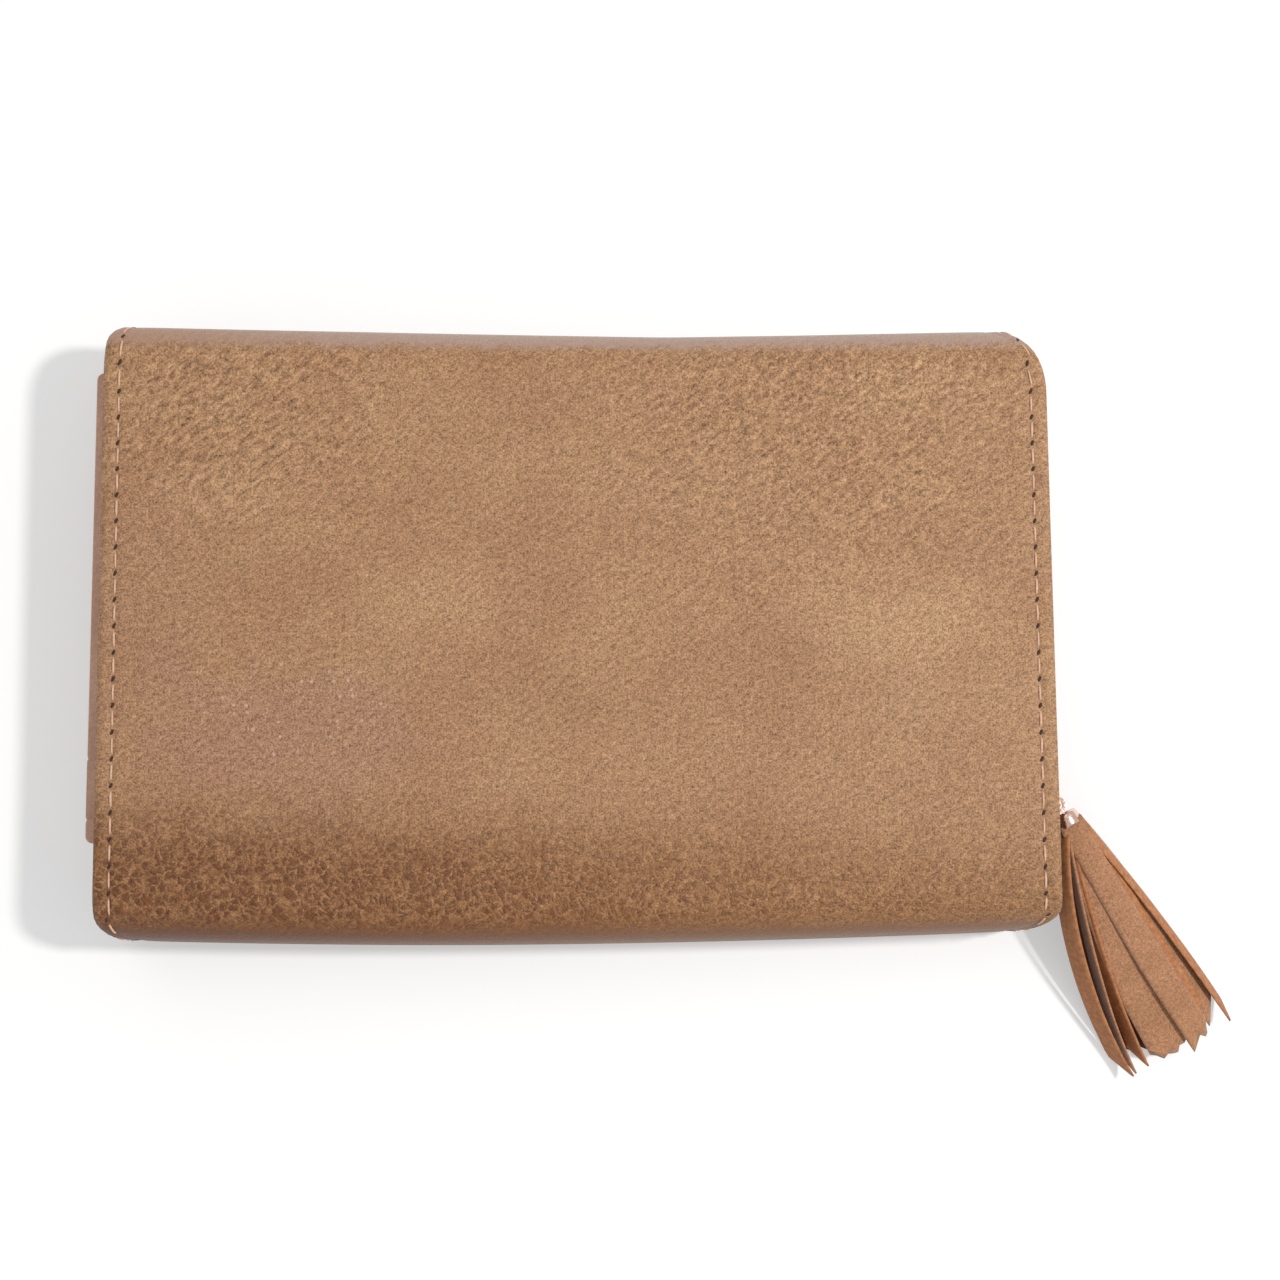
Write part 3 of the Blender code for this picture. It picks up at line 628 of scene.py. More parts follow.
def cover_dye(nodes, uv, across, along, cloud_fine):
    """The cover's colour without its grain, how burnished it is, and how much painted sheen and painted shade lie
    on its folds.
    """
    cloud = nodes.noise(uv, 42.0, 5.0, 0.62, 0.3)["Fac"]
    base = nodes.mix(nodes.span(cloud, 0.32, 0.68), colour(174, 132, 98), colour(184, 145, 109))
    base = nodes.mix(nodes.span(cloud_fine, 0.35, 0.75, 0.0, 0.45), base, colour(170, 128, 92))
    for (x, y), (size_x, size_y), dye, strength in DYE_PATCHES:
        mask = placed(nodes, PATCH, Place=uv, Centre=(x * MM, BACK_MIDDLE + y * MM, 0),
                      Size=(size_x * MM, size_y * MM, 1))["Mask"]
        base = nodes.mix(nodes.times(mask, strength), base, dye)
    # the darker burnish along the flap fold, strongest at the left
    ragged = nodes.plus(along, nodes.times(nodes.minus(cloud_fine, 0.5), 0.016))
    ragged = nodes.plus(ragged, nodes.times(across, 0.035))
    fold_run = PATH.starts[4]
    burnish = nodes.span(ragged, fold_run + 22 * MM, fold_run + 1 * MM)
    burnish = nodes.times(burnish, nodes.span(across, 0.12, -0.06, 0.50, 0.92))
    dye = nodes.mix(nodes.span(across, -0.09, 0.06), colour(120, 68, 14), colour(136, 85, 30))
    base = nodes.mix(burnish, base, dye)
    # painted sheen and shade on the two folds: a smooth, pale mauve-grey painted sheen over the top fold that
    # fades beyond it, and a darker, smooth grey-brown painted shade over the bottom fold
    wavering = nodes.plus(along, nodes.times(nodes.minus(cloud_fine, 0.5), 0.005))
    far_run = PATH.starts[5]
    top_fold_sheen = nodes.span(wavering, far_run + 4.2 * MM, far_run + 7.4 * MM, 0.0, 0.9)
    top_fold_sheen = nodes.times(top_fold_sheen, nodes.span(along, far_run + 11 * MM, far_run + 18 * MM, 1.0, 0.3))
    # near: the mask of the painted shade on the bottom fold
    near = nodes.span(wavering, fold_run - 6.4 * MM, fold_run - 9.2 * MM, 0.0, 0.9)
    sheen_tint = nodes.mix(nodes.span(across, -0.09, -0.03), colour(186, 150, 132), colour(190, 164, 156))
    fold_shade_tint = nodes.mix(nodes.span(across, -0.09, 0.05), colour(114, 70, 36), colour(138, 96, 62))
    base = nodes.mix(near, nodes.mix(top_fold_sheen, base, sheen_tint), fold_shade_tint)
    return base, burnish, nodes.math("MAXIMUM", top_fold_sheen, near)


def cover_material():
    made, nodes, shader = new_material("pebbled_cover_leather", 0.55, Sheen_Weight=0.12,
                                       Specular_IOR_Level=0.38)
    uv = nodes.add("ShaderNodeUVMap", uv_map="flat").outputs[0]
    across, along, _ = nodes.add("ShaderNodeSeparateXYZ", Vector=uv).outputs
    cloud_fine = nodes.noise(uv, 150.0, 4.0, 0.6)["Fac"]
    base, burnish, fold_sheen_and_shade = cover_dye(nodes, uv, across, along, cloud_fine)
    # where the pebbles are coarse: in the burnish, and softly towards the two far corners
    corners = []
    for x, y, size_x, size_y, strength in ((50, 45, 62, 44, 0.62), (-70, 45, 40, 30, 0.42)):
        mask = placed(nodes, PATCH, Place=uv, Centre=(x * MM, BACK_MIDDLE + y * MM, 0),
                      Size=(size_x * MM, size_y * MM, 1), Rag=0.2)["Mask"]
        corners.append(nodes.times(mask, strength))
    coarse = nodes.math("MAXIMUM", nodes.math("MAXIMUM", *corners), burnish)
    coarse = nodes.times(coarse, nodes.span(cloud_fine, 0.25, 0.6, 0.6, 1.1, "LINEAR"))
    folded = nodes.span(along, PATH.starts[4] - 9 * MM, PATH.starts[4] - 3 * MM)
    # the grain fades under the painted sheen and shade of the folds
    grained = nodes.minus(1.0, nodes.times(fold_sheen_and_shade, 0.9))
    coarse = nodes.times(nodes.plus(coarse, 0.14), nodes.times(folded, grained))
    pebbles = placed(nodes, PEBBLE, Place=uv, Cell_Size=0.0017)
    streak = nodes.plus(nodes.times(corners[0], 1.2), nodes.times(corners[1], 2.6))
    streak = nodes.plus(streak, 0.7)
    specks = placed(nodes, SPECKS, Place=uv, Fine=SPECK_FINE, Middling=SPECK_MIDDLING, Streak=streak)
    dark = nodes.times(pebbles["Blotch"], nodes.times(coarse, 0.8))
    base = nodes.mix(dark, base, nodes.mix(burnish, colour(140, 98, 60), colour(100, 54, 16)))
    net = nodes.times(pebbles["Net"], nodes.times(coarse, 0.46))
    base = nodes.mix(net, base, nodes.mix(burnish, colour(216, 176, 138), colour(194, 152, 110)))
    speck = nodes.times(nodes.minus(specks["Factor"], 1.0), grained)
    base = grained_dye(nodes, base, nodes.plus(speck, 1.0))
    # painted glints: a few tiny near-white flecks in one patch at the left
    fleck = nodes.add("ShaderNodeTexVoronoi", feature="F1", Vector=uv, Scale=620.0)
    pick = nodes.add("ShaderNodeSeparateColor", Color=fleck.outputs["Color"]).outputs[1]
    glint_patch = placed(nodes, PATCH, Place=uv, Centre=(-0.056, BACK_MIDDLE - 0.016, 0),
                    Size=(0.026, 0.017, 1), Rag=0.5)["Mask"]
    glint = nodes.times(nodes.span(fleck.outputs["Distance"], 0.30, 0.16), glint_patch)
    glint = nodes.times(glint, nodes.span(pick, 0.62, 0.75, 0.0, 0.6))
    base = nodes.mix(glint, base, colour(232, 204, 190))
    base = nodes.mix(1.0, base, DYE_DEPTH, "MULTIPLY")
    height = nodes.plus(nodes.times(pebbles["Height"], coarse),
                        nodes.times(specks["Height"], 0.8))
    roughness = nodes.span(height, -0.8, 0.8, 0.66, 0.46, "LINEAR")
    finish_look(nodes, shader, base, roughness, height, 0.13 * MM, 0.85)
    return made


def pouch_material():
    made, nodes, shader = new_material("smooth_pouch_leather", 0.5, Sheen_Weight=0.1)
    place = nodes.add("ShaderNodeTexCoord").outputs["Object"]
    cloud = nodes.noise(place, 60.0, 4.0, 0.6)["Fac"]
    grain = placed(nodes, SPECKS, Place=place, Fine=0.5, Middling=0.5)
    base = nodes.mix(nodes.span(cloud, 0.3, 0.7), colour(190, 146, 122), colour(202, 160, 136))
    finish_look(nodes, shader, scaled(nodes, base, grain["Factor"]),
                nodes.span(cloud, 0.3, 0.7, 0.45, 0.58), grain["Height"], 0.06 * MM, 0.6)
    return made


def lining_material():
    made, nodes, shader = new_material("woven_lining", 0.85, Sheen_Weight=0.25)
    place = nodes.add("ShaderNodeUVMap", uv_map="flat").outputs[0]
    parts = nodes.add("ShaderNodeSeparateXYZ", Vector=place).outputs
    threads = []
    for axis in (0, 1):
        phase = nodes.times(parts[axis], 2 * math.pi / (0.55 * MM))
        threads.append(nodes.math("SINE", phase))
    weave = nodes.times(threads[0], threads[1])
    slub = nodes.noise(place, 320.0, 3.0)["Fac"]
    base = nodes.mix(nodes.span(weave, -1, 1, 0.0, 1.0, "LINEAR"), colour(118, 88, 66), colour(150, 116, 90))
    base = nodes.mix(nodes.span(slub, 0.35, 0.7, 0.0, 0.5), base, colour(104, 76, 56))
    finish_look(nodes, shader, base, nodes.span(slub, 0.3, 0.7, 0.78, 0.92), weave, 0.06 * MM, 0.6)
    return made


def suede_material():
    made, nodes, shader = new_material("tassel_suede", 0.88, Sheen_Weight=0.35, Sheen_Roughness=0.5)
    place = nodes.add("ShaderNodeUVMap", uv_map="flat").outputs[0]
    specks = placed(nodes, SPECKS, Place=place, Fine=1.3, Middling=1.0)
    nap = specks["Height"]
    cloud = nodes.noise(place, 130.0, 4.0, 0.6)["Fac"]
    base = nodes.mix(nodes.span(cloud, 0.3, 0.7), colour(148, 103, 70), colour(160, 113, 80))
    finish_look(nodes, shader, grained_dye(nodes, base, specks["Factor"]),
                nodes.span(nap, -0.3, 0.3, 0.8, 0.95), nap, 0.1 * MM, 0.7)
    return made


def edge_material(name, dark, light):
    """Darker copies of the suede for the tassel's strips: an orange-brown inner side deepened with painted shade,
    and a dark painted shade for the fill strips in the gaps.
    """
    made, nodes, shader = new_material(name, 0.8)
    place = nodes.add("ShaderNodeTexCoord").outputs["Object"]
    nap = nodes.noise(place, 900.0, 4.0, 0.7)["Fac"]
    base = nodes.mix(nodes.span(nap, 0.3, 0.7), dark, light)
    finish_look(nodes, shader, base, nodes.span(nap, 0.3, 0.7, 0.7, 0.9), nap, 0.1 * MM, 0.6)
    return made


def metal_material():
    made, nodes, shader = new_material("rose_gold", 0.2, 1.0)
    place = nodes.add("ShaderNodeTexCoord").outputs["Object"]
    cloud = nodes.noise(place, 400.0, 3.0)["Fac"]
    scratch = nodes.noise(place, 2600.0, 2.0)["Fac"]
    base = nodes.mix(nodes.span(cloud, 0.3, 0.7), colour(236, 206, 194), colour(228, 190, 170))
    finish_look(nodes, shader, base, nodes.span(scratch, 0.3, 0.7, 0.12, 0.26), scratch, 0.02 * MM, 0.3)
    return made


def fibre_material(name, dark, light, pitch, roughness):
    """Thread, tape and coil: fine strands on a plain colour."""
    made, nodes, shader = new_material(name, roughness, Sheen_Weight=0.15)
    place = nodes.add("ShaderNodeTexCoord").outputs["Object"]
    strand = nodes.noise(place, 1 / pitch, 3.0, 0.6)["Fac"]
    base = nodes.mix(nodes.span(strand, 0.3, 0.7), dark, light)
    uneven = nodes.span(strand, 0.3, 0.7, roughness - 0.08, roughness + 0.06)
    finish_look(nodes, shader, base, uneven, strand, pitch * 0.2, 0.6)
    return made


LOOKS = {
    "cover_leather": cover_material(),
    "pouch_leather": pouch_material(),
    "lining_cloth": lining_material(),
    "tassel_suede": suede_material(),
    # the next look is the strips' orange-brown inner side, deepened as painted shade for strips that stand in
    # shade
    "tassel_inside_shaded": edge_material("tassel_inside_shaded", colour(142, 86, 46), colour(176, 120, 78)),
    # tassel_shade: painted shade, a dark suede for the fill strips in the gaps between the strips
    "tassel_shade": edge_material("tassel_shade", colour(66, 38, 26), colour(96, 60, 40)),
    "rose_metal": metal_material(),
    "stiffener_board": fibre_material("pressed_card", colour(150, 132, 108), colour(176, 158, 132), 0.8 * MM,
                                      0.9),
    "zip_tape": fibre_material("zip_tape", colour(128, 92, 64), colour(150, 112, 82), 0.4 * MM, 0.86),
    "zip_coil": fibre_material("zip_coil", colour(120, 84, 58), colour(142, 104, 74), 0.5 * MM, 0.45),
    "thread": fibre_material("stitch_thread", colour(178, 136, 110), colour(214, 176, 150), 0.25 * MM, 0.6),
    # the needle holes' look is painted shade: dark discs lying on the leather
    "hole_shade": fibre_material("needle_hole_shade", colour(44, 20, 8), colour(70, 36, 18), 0.3 * MM, 0.9),
}


def dress(obj, look):
    obj.data.materials.clear()
    obj.data.materials.append(LOOKS[look])
    return obj


# ---- Building the cover ----
def bend(obj, stretch):
    """Bakes a stretch's placement into its mesh, the same way for every stretch."""
    if stretch == "flap":
        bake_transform(obj)
    elif stretch == "back":
        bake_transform(obj)
    elif stretch == "fold":
        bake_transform(obj)
    else:
        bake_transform(obj)


def build_cover():
    stretches = {"flap": (0.0, FLAP_SPINE_RUN), "back": (FLAP_SPINE_RUN, BOTTOM_SPINE_RUN),
                 "fold": (BOTTOM_SPINE_RUN, MOUTH_RUN), "front": (MOUTH_RUN, PATH.total)}
    leather_nodes = {"flap": ("flap_leather",), "back": ("back_leather", "flap_spine_leather"),
                     "fold": ("bottom_spine_leather",), "front": ("front_leather",)}
    lining_nodes = {"flap": ("flap_lining",), "back": ("back_lining", "flap_spine_lining"),
                    "fold": ("bottom_spine_lining",), "front": ("front_lining",)}
    for name, (first, last) in stretches.items():
        leather = dress(cover_sheet(f"cover_{name}", first, last), "cover_leather")
        lining = dress(cover_sheet(f"lining_{name}", first + (1.5 * MM if name == "flap" else 0),
                                   last - (1.5 * MM if name == "front" else 0), thick=LINING,
                                   inset=1.5 * MM, stitched=False, row=3 * MM, depth_of=lining_depth),
                       "lining_cloth")
        spots = side_spots(max(first, FLAP_CORNER), min(last, PATH.total - FRONT_CORNER))
        if name == "flap":
            spots += edge_spots(STITCH_INSET, FLAP_CORNER)
        if name == "front":
            spots += edge_spots(PATH.total - STITCH_INSET, FRONT_CORNER)
        threads, hole_shades = stitch_run(f"stitches_{name}", spots)
        dress(threads, "thread")
        dress(hole_shades, "hole_shade")
        for obj in (leather, lining, threads, hole_shades):
            bend(obj, name)
        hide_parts(*leather_nodes[name])
        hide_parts(*lining_nodes[name])


build_cover()


# ---- Soft pieces copied from the frame ----
BODY_OF = {node: body for body, nodes in frame["record"]["behaviour"]["bodies"].items() for node in nodes}
SLOT_OF = {part["node"]: part["material_slot"] for part in frame["record"]["subparts"]}


def rounded_box(name, low, high, corner, edge, cuts=6):
    """A box with round corners in plan and soft edges all round."""
    rings = []
    corner = min(corner, 0.49 * (high.x - low.x), 0.49 * (high.y - low.y))
    profile = []
    for step in range(4):
        angle = math.pi / 2 * step / 3
        profile.append((edge * (1 - math.sin(angle)), low.z + edge * (1 - math.cos(angle))))
    profile += [(inset, high.z + low.z - z) for inset, z in reversed(profile)]
    for inset, z in profile:
        ring = []
        corner_places = ((high.x, high.y), (low.x, high.y), (low.x, low.y), (high.x, low.y))
        for quadrant, (x, y) in enumerate(corner_places):
            centre_x = x - math.copysign(corner, x - (low.x + high.x) / 2)
            centre_y = y - math.copysign(corner, y - (low.y + high.y) / 2)
            for step in range(cuts + 1):
                angle = math.pi / 2 * (quadrant + step / cuts)
                reach = max(corner - inset, 0.01 * MM)
                outward = Vector((math.cos(angle), math.sin(angle), 0)) * reach
                ring.append(Vector((centre_x, centre_y, z)) + outward)
        rings.append(ring)
    uvs = [[(point.x, point.y + point.z) for point in ring] for ring in rings]
    return loft(name, rings, uvs)


def soft_copy(node, look, corner, edge):
    """A piece of leather, cloth or card in the place of a CAD node."""
    low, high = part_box(node)
    obj = dress(rounded_box(f"{node}_looks", low, high, corner, edge), look)
    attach(obj, BODY_OF[node])
    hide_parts(node)
    return obj


def softened(node, width, look, segments=2):
    """The CAD node's own shape with its edges rounded over."""
    source = frame["nodes"][node]
    mesh = source.data.copy()
    work = bmesh.new()
    work.from_mesh(mesh)
    work.transform(source.matrix_world)
    bmesh.ops.remove_doubles(work, verts=work.verts, dist=0.001 * MM)
    bmesh.ops.dissolve_limit(work, angle_limit=math.radians(1), verts=work.verts, edges=work.edges)
    sharp = [edge for edge in work.edges if edge.is_manifold and edge.calc_face_angle() > math.radians(32)]
    bmesh.ops.bevel(work, geom=sharp, offset=width, segments=segments, profile=0.6, affect="EDGES",
                    clamp_overlap=True)
    bmesh.ops.triangulate(work, faces=[face for face in work.faces if len(face.verts) > 4])
    work.to_mesh(mesh)
    work.free()
    mesh.polygons.foreach_set("use_smooth", [True] * len(mesh.polygons))
    obj = bpy.data.objects.new(f"{node}_looks", mesh)
    bpy.context.scene.collection.objects.link(obj)
    mesh.set_sharp_from_angle(angle=math.radians(50))
    dress(obj, look)
    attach(obj, BODY_OF[node])
    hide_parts(node)
    return obj


def straight_stitches(name, start, end, z, body, thread=0.22 * MM, pitch=3.2 * MM):
    """A row of stitches between two points on a flat face."""
    start = Vector((*start, z))
    end = Vector((*end, z))
    count = int((end - start).length / pitch)
    way = (end - start).normalized()
    tubes = []
    for number in range(count):
        middle = start + way * pitch * (number + 0.5)
        points = [middle + way * 0.34 * pitch * share + Vector((0, 0, 0.12 * MM * (1 - share ** 2)))
                  for share in (-1, -0.6, 0, 0.6, 1)]
        tubes.append(tube(points, thread, 6, 0.8))
    obj = dress(tubes_object(name, tubes), "thread")
    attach(obj, body)


# ---- Pouch, zip and card slots ----
def build_pouch():
    for node in ("pouch_lower_wall", "pouch_upper_wall_mouth", "pouch_upper_wall_main"):
        soft_copy(node, "pouch_leather", 3 * MM if node == "pouch_lower_wall" else 1.5 * MM, 0.36 * MM)
    for node in ("pouch_side_left", "pouch_side_right", "pouch_fold_mouth", "pouch_fold_bottom"):
        soft_copy(node, "pouch_leather", 0.3 * MM, 0.2 * MM)
    low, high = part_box("pouch_upper_wall_mouth")
    main_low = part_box("pouch_upper_wall_main")[0]
    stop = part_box("zip_stop_left")[0].x - 1 * MM
    far_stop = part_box("zip_stop_right")[1].x + 0.5 * MM
    for name, x0, x1 in (("left", low.x, stop), ("right", far_stop, high.x)):
        patch = rounded_box(f"zip_end_{name}", Vector((x0, high.y - 0.5 * MM, low.z + 0.02 * MM)),
                            Vector((x1, main_low.y + 0.5 * MM, high.z + 0.06 * MM)), 0.3 * MM, 0.2 * MM)
        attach(dress(patch, "pouch_leather"), "pouch")
    for name, y in (("mouth", high.y - 1.6 * MM), ("main", main_low.y + 1.6 * MM)):
        straight_stitches(f"pouch_stitches_{name}", (low.x + 4 * MM, y), (high.x - 4 * MM, y),
                          high.z, "pouch")
    straight_stitches("pouch_stitches_edge", (low.x + 3 * MM, low.y + 1.8 * MM),
                      (high.x - 3 * MM, low.y + 1.8 * MM), high.z, "pouch")


ZIP_Y = (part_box("zip_coil_mouth")[0].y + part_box("zip_coil_main")[1].y) / 2


def coil_teeth(node):
    """The zip's nylon coil: one flattened loop for each tooth."""
    low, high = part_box(node)
    inner_side = 1 if low.y < ZIP_Y else -1
    pitch = 1.3 * MM
    middle_z = (low.z + high.z) / 2
    tubes = []
    for number in range(int((high.x - low.x) / pitch) - 1):
        x = low.x + pitch * (number + 0.9)
        points = []
        for step in range(7):
            angle = math.pi * (step / 6 - 0.5)
            y = (low.y + high.y) / 2 + inner_side * (math.cos(angle) - 0.45) * 0.62 * (high.y - low.y)
            points.append(Vector((x, y, middle_z + 0.36 * (high.z - low.z) * math.sin(angle))))
        tubes.append(tube(points, 0.27 * MM, 6, 1.0, Vector((1, 0, 0))))
    return tubes


def build_zip():
    for node in ("zip_tape_mouth", "zip_tape_main"):
        soft_copy(node, "zip_tape", 0.5 * MM, 0.2 * MM)
    for node in ("zip_coil_mouth", "zip_coil_main"):
        low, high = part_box(node)
        inset = Vector((0, 0.25, 0.2)) * MM
        core = rounded_box(f"{node}_core", low + inset, high - inset, 0.3 * MM, 0.25 * MM)
        dress(core, "zip_coil")
        teeth = dress(tubes_object(f"{node}_teeth", coil_teeth(node)), "zip_coil")
        for obj in (core, teeth):
            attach(obj, "pouch")
        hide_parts(node)
    for node in ("zip_stop_left", "zip_stop_right"):
        softened(node, 0.25 * MM, "rose_metal")


def build_card_slots():
    for node in SLOT_OF:
        if node.startswith("card_slot"):
            low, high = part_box(node)
            soft_copy(node, "pouch_leather", 1.0 * MM, 0.12 * MM)
            straight_stitches(f"{node}_stitches", (low.x + 2 * MM, low.y + 1.2 * MM),
                              (high.x - 2 * MM, low.y + 1.2 * MM), low.z - 0.1 * MM, "back",
                              0.16 * MM, 2.6 * MM)


def build_gussets():
    """Soft side walls, each with a slight waist, in place of the CAD gussets."""
    for side in ("left", "right"):
        for place in ("back", "front"):
            node = f"gusset_{place}_{side}"
            low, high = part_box(node)
            rings = []
            rows = 10
            for row in range(rows + 1):
                z = low.z + (high.z - low.z) * row / rows
                waist = 0.5 * MM * math.sin(math.pi * row / rows) * (-1 if side == "left" else 1)
                ring = []
                for x, y in ((low.x, low.y), (high.x, low.y), (high.x, high.y), (low.x, high.y)):
                    ring.append(Vector((x - waist, y, z)))
                rings.append(ring)
            flat = [[(0, 0)] * 4 for ring in rings]
            obj = dress(loft(f"{node}_looks", rings, flat), "pouch_leather")
            obj.data.polygons.foreach_set("use_smooth", [False] * len(obj.data.polygons))
            if place == "back":
                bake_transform(obj)
            else:
                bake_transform(obj)
            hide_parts(node)


# ---- Metal ----
def lathe(name, profile, at, axis, steps=48):
    """A closed profile of (radius, height) turned about an axis; ends with no radius are closed."""
    turn = Vector(axis).to_track_quat("Z", "Y").to_matrix()
    verts = []
    for radius, height in profile:
        for step in range(steps):
            angle = 2 * math.pi * step / steps
            spot = Vector((radius * math.cos(angle), radius * math.sin(angle), height))
            verts.append(Vector(at) + turn @ spot)
    obj = make_object(name, verts, skin(len(profile), steps, closed=True))
    work = bmesh.new()
    work.from_mesh(obj.data)
    bmesh.ops.remove_doubles(work, verts=work.verts, dist=0.002 * MM)
    bmesh.ops.recalc_face_normals(work, faces=work.faces)
    work.to_mesh(obj.data)
    work.free()
    obj.data.polygons.foreach_set("use_smooth", [True] * len(obj.data.polygons))
    obj.data.set_sharp_from_angle(angle=math.radians(55))
    return obj


SWING_AXIS = JOINT["tassel_swing"]["axis"]
TASSEL_WAY = Vector((-SWING_AXIS[1], SWING_AXIS[0], 0)).normalized()
CAP_LOW, CAP_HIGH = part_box("tassel_cap")
CAP_MIDDLE = (CAP_LOW + CAP_HIGH) / 2
CAP_RADIUS = (CAP_HIGH.z - CAP_LOW.z) / 2
CAP_LENGTH = 3.0 * MM


def build_metal():
    start = CAP_MIDDLE - TASSEL_WAY * CAP_LENGTH / 2
    wall = 0.4 * MM
    lip = 0.35 * MM
    profile = [(0.0, 0.0), (CAP_RADIUS - 1.2 * MM, 0.0), (CAP_RADIUS - 0.4 * MM, 0.12 * MM),
               (CAP_RADIUS - 0.08 * MM, 0.45 * MM), (CAP_RADIUS, 0.8 * MM), (CAP_RADIUS, CAP_LENGTH - lip),
               (CAP_RADIUS - 0.12 * MM, CAP_LENGTH), (CAP_RADIUS - wall, CAP_LENGTH),
               (CAP_RADIUS - wall, wall), (0.0, wall)]
    cap = dress(lathe("tassel_cap_looks", profile, start, TASSEL_WAY), "rose_metal")
    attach(cap, "tassel")
    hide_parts("tassel_cap")
    for node, edge in (("tassel_eye", 0.3), ("pull_link", 0.32), ("zip_slider", 0.25),
                       ("slider_bail", 0.22), ("snap_stud", 0.25), ("snap_socket", 0.25)):
        softened(node, edge * MM, "rose_metal", 3)
    build_jump_ring()
    build_d_ring()


def build_jump_ring():
    low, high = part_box("jump_ring")
    wire = 0.5 * MM
    major = (high.z - low.z) / 2 - wire
    bpy.ops.mesh.primitive_torus_add(major_radius=major, minor_radius=wire, major_segments=48,
                                     minor_segments=16, location=(low + high) / 2,
                                     rotation=(math.pi / 2, 0, math.atan2(TASSEL_WAY.y, TASSEL_WAY.x)))
    ring = bpy.context.object
    ring.name = "jump_ring_looks"
    bpy.ops.object.shade_smooth()
    dress(ring, "rose_metal")
    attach(ring, "ring")
    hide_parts("jump_ring")


def build_d_ring():
    low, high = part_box("strap_d_ring")
    wire = (high.z - low.z) / 2
    half = (high.x - low.x) / 2 - wire
    reach = (high.y - low.y) - 2 * wire
    middle = Vector(((low.x + high.x) / 2, high.y - wire, (low.z + high.z) / 2))
    turns = [math.pi * step / 28 for step in range(29)]
    loop = [(half * math.cos(a), -reach * math.sin(a) ** 0.8) for a in turns]
    loop += [(-half + 2 * half * step / 12, 0) for step in range(1, 12)]
    verts = []
    sides = 12
    count = len(loop)
    for index, (x, y) in enumerate(loop):
        before = Vector((*loop[index - 1], 0))
        after = Vector((*loop[(index + 1) % count], 0))
        way = (after - before).normalized()
        side = Vector((way.y, -way.x, 0))
        for step in range(sides):
            angle = 2 * math.pi * step / sides
            verts.append(middle + Vector((x, y, 0)) + side * wire * math.cos(angle)
                         + Vector((0, 0, wire * math.sin(angle))))
    ring = make_object("strap_d_ring_looks", verts, skin(count, sides, closed=True))
    dress(ring, "rose_metal")
    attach(ring, "strap_ring")
    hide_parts("strap_d_ring")
    softened("strap_tab", 0.18 * MM, "pouch_leather")


# ---- Tassel ----
ROOT = CAP_MIDDLE + TASSEL_WAY * (CAP_LENGTH / 2 - 0.6 * MM)
ACROSS = Vector((-TASSEL_WAY.y, TASSEL_WAY.x, 0))
STRIP_THICK = 0.5 * MM
STRIP_ROWS = 34
STRIP_COLUMNS = 8
ON_TABLE = 0.05 * MM


def tip_length(kind, across):
    """How far a strip's end is cut back, as a share of its width, at a place across it (-1 to 1)."""
    if kind == "fork":
        return 0.75 * (0.55 + 0.45 * math.cos(3 * math.pi * (across + 1) / 2)) + 0.28 * (1 - across)
    if kind == "jagged":
        return 0.35 * across ** 2 + 0.10 * math.sin(9 * across)
    if kind == "left_point":
        return 0.9 * (across + 1)
    return 0.9 * (1 - across)


def heading(angle):
    """The level way at an angle in degrees."""
    return Vector((math.cos(math.radians(angle)), math.sin(math.radians(angle)), 0))


def strip_line(start, angle, length, start_angle, end_angle, drop, sag):
    """The middle line of a strip: a curve in plan that falls from the cap to the tip's height."""
    end = start + heading(angle) * length * MM
    first = heading(start_angle) * length * MM
    last = heading(end_angle) * length * MM
    points = []
    for row in range(STRIP_ROWS + 1):
        t = row / STRIP_ROWS
        place = (start * (2 * t ** 3 - 3 * t ** 2 + 1) + first * (t ** 3 - 2 * t ** 2 + t)
                 + end * (3 * t ** 2 - 2 * t ** 3) + last * (t ** 3 - t ** 2))
        fall = smooth(0.0, 1.0, t) * sag + (1 - (1 - t) ** (1 + 2 * sag)) * (1 - sag)
        place.z = start.z + (drop * MM - start.z) * fall
        place.z += 0.25 * MM * math.sin(7 * t + angle) * t * (1 - t) * 4
        points.append(place)
    return points


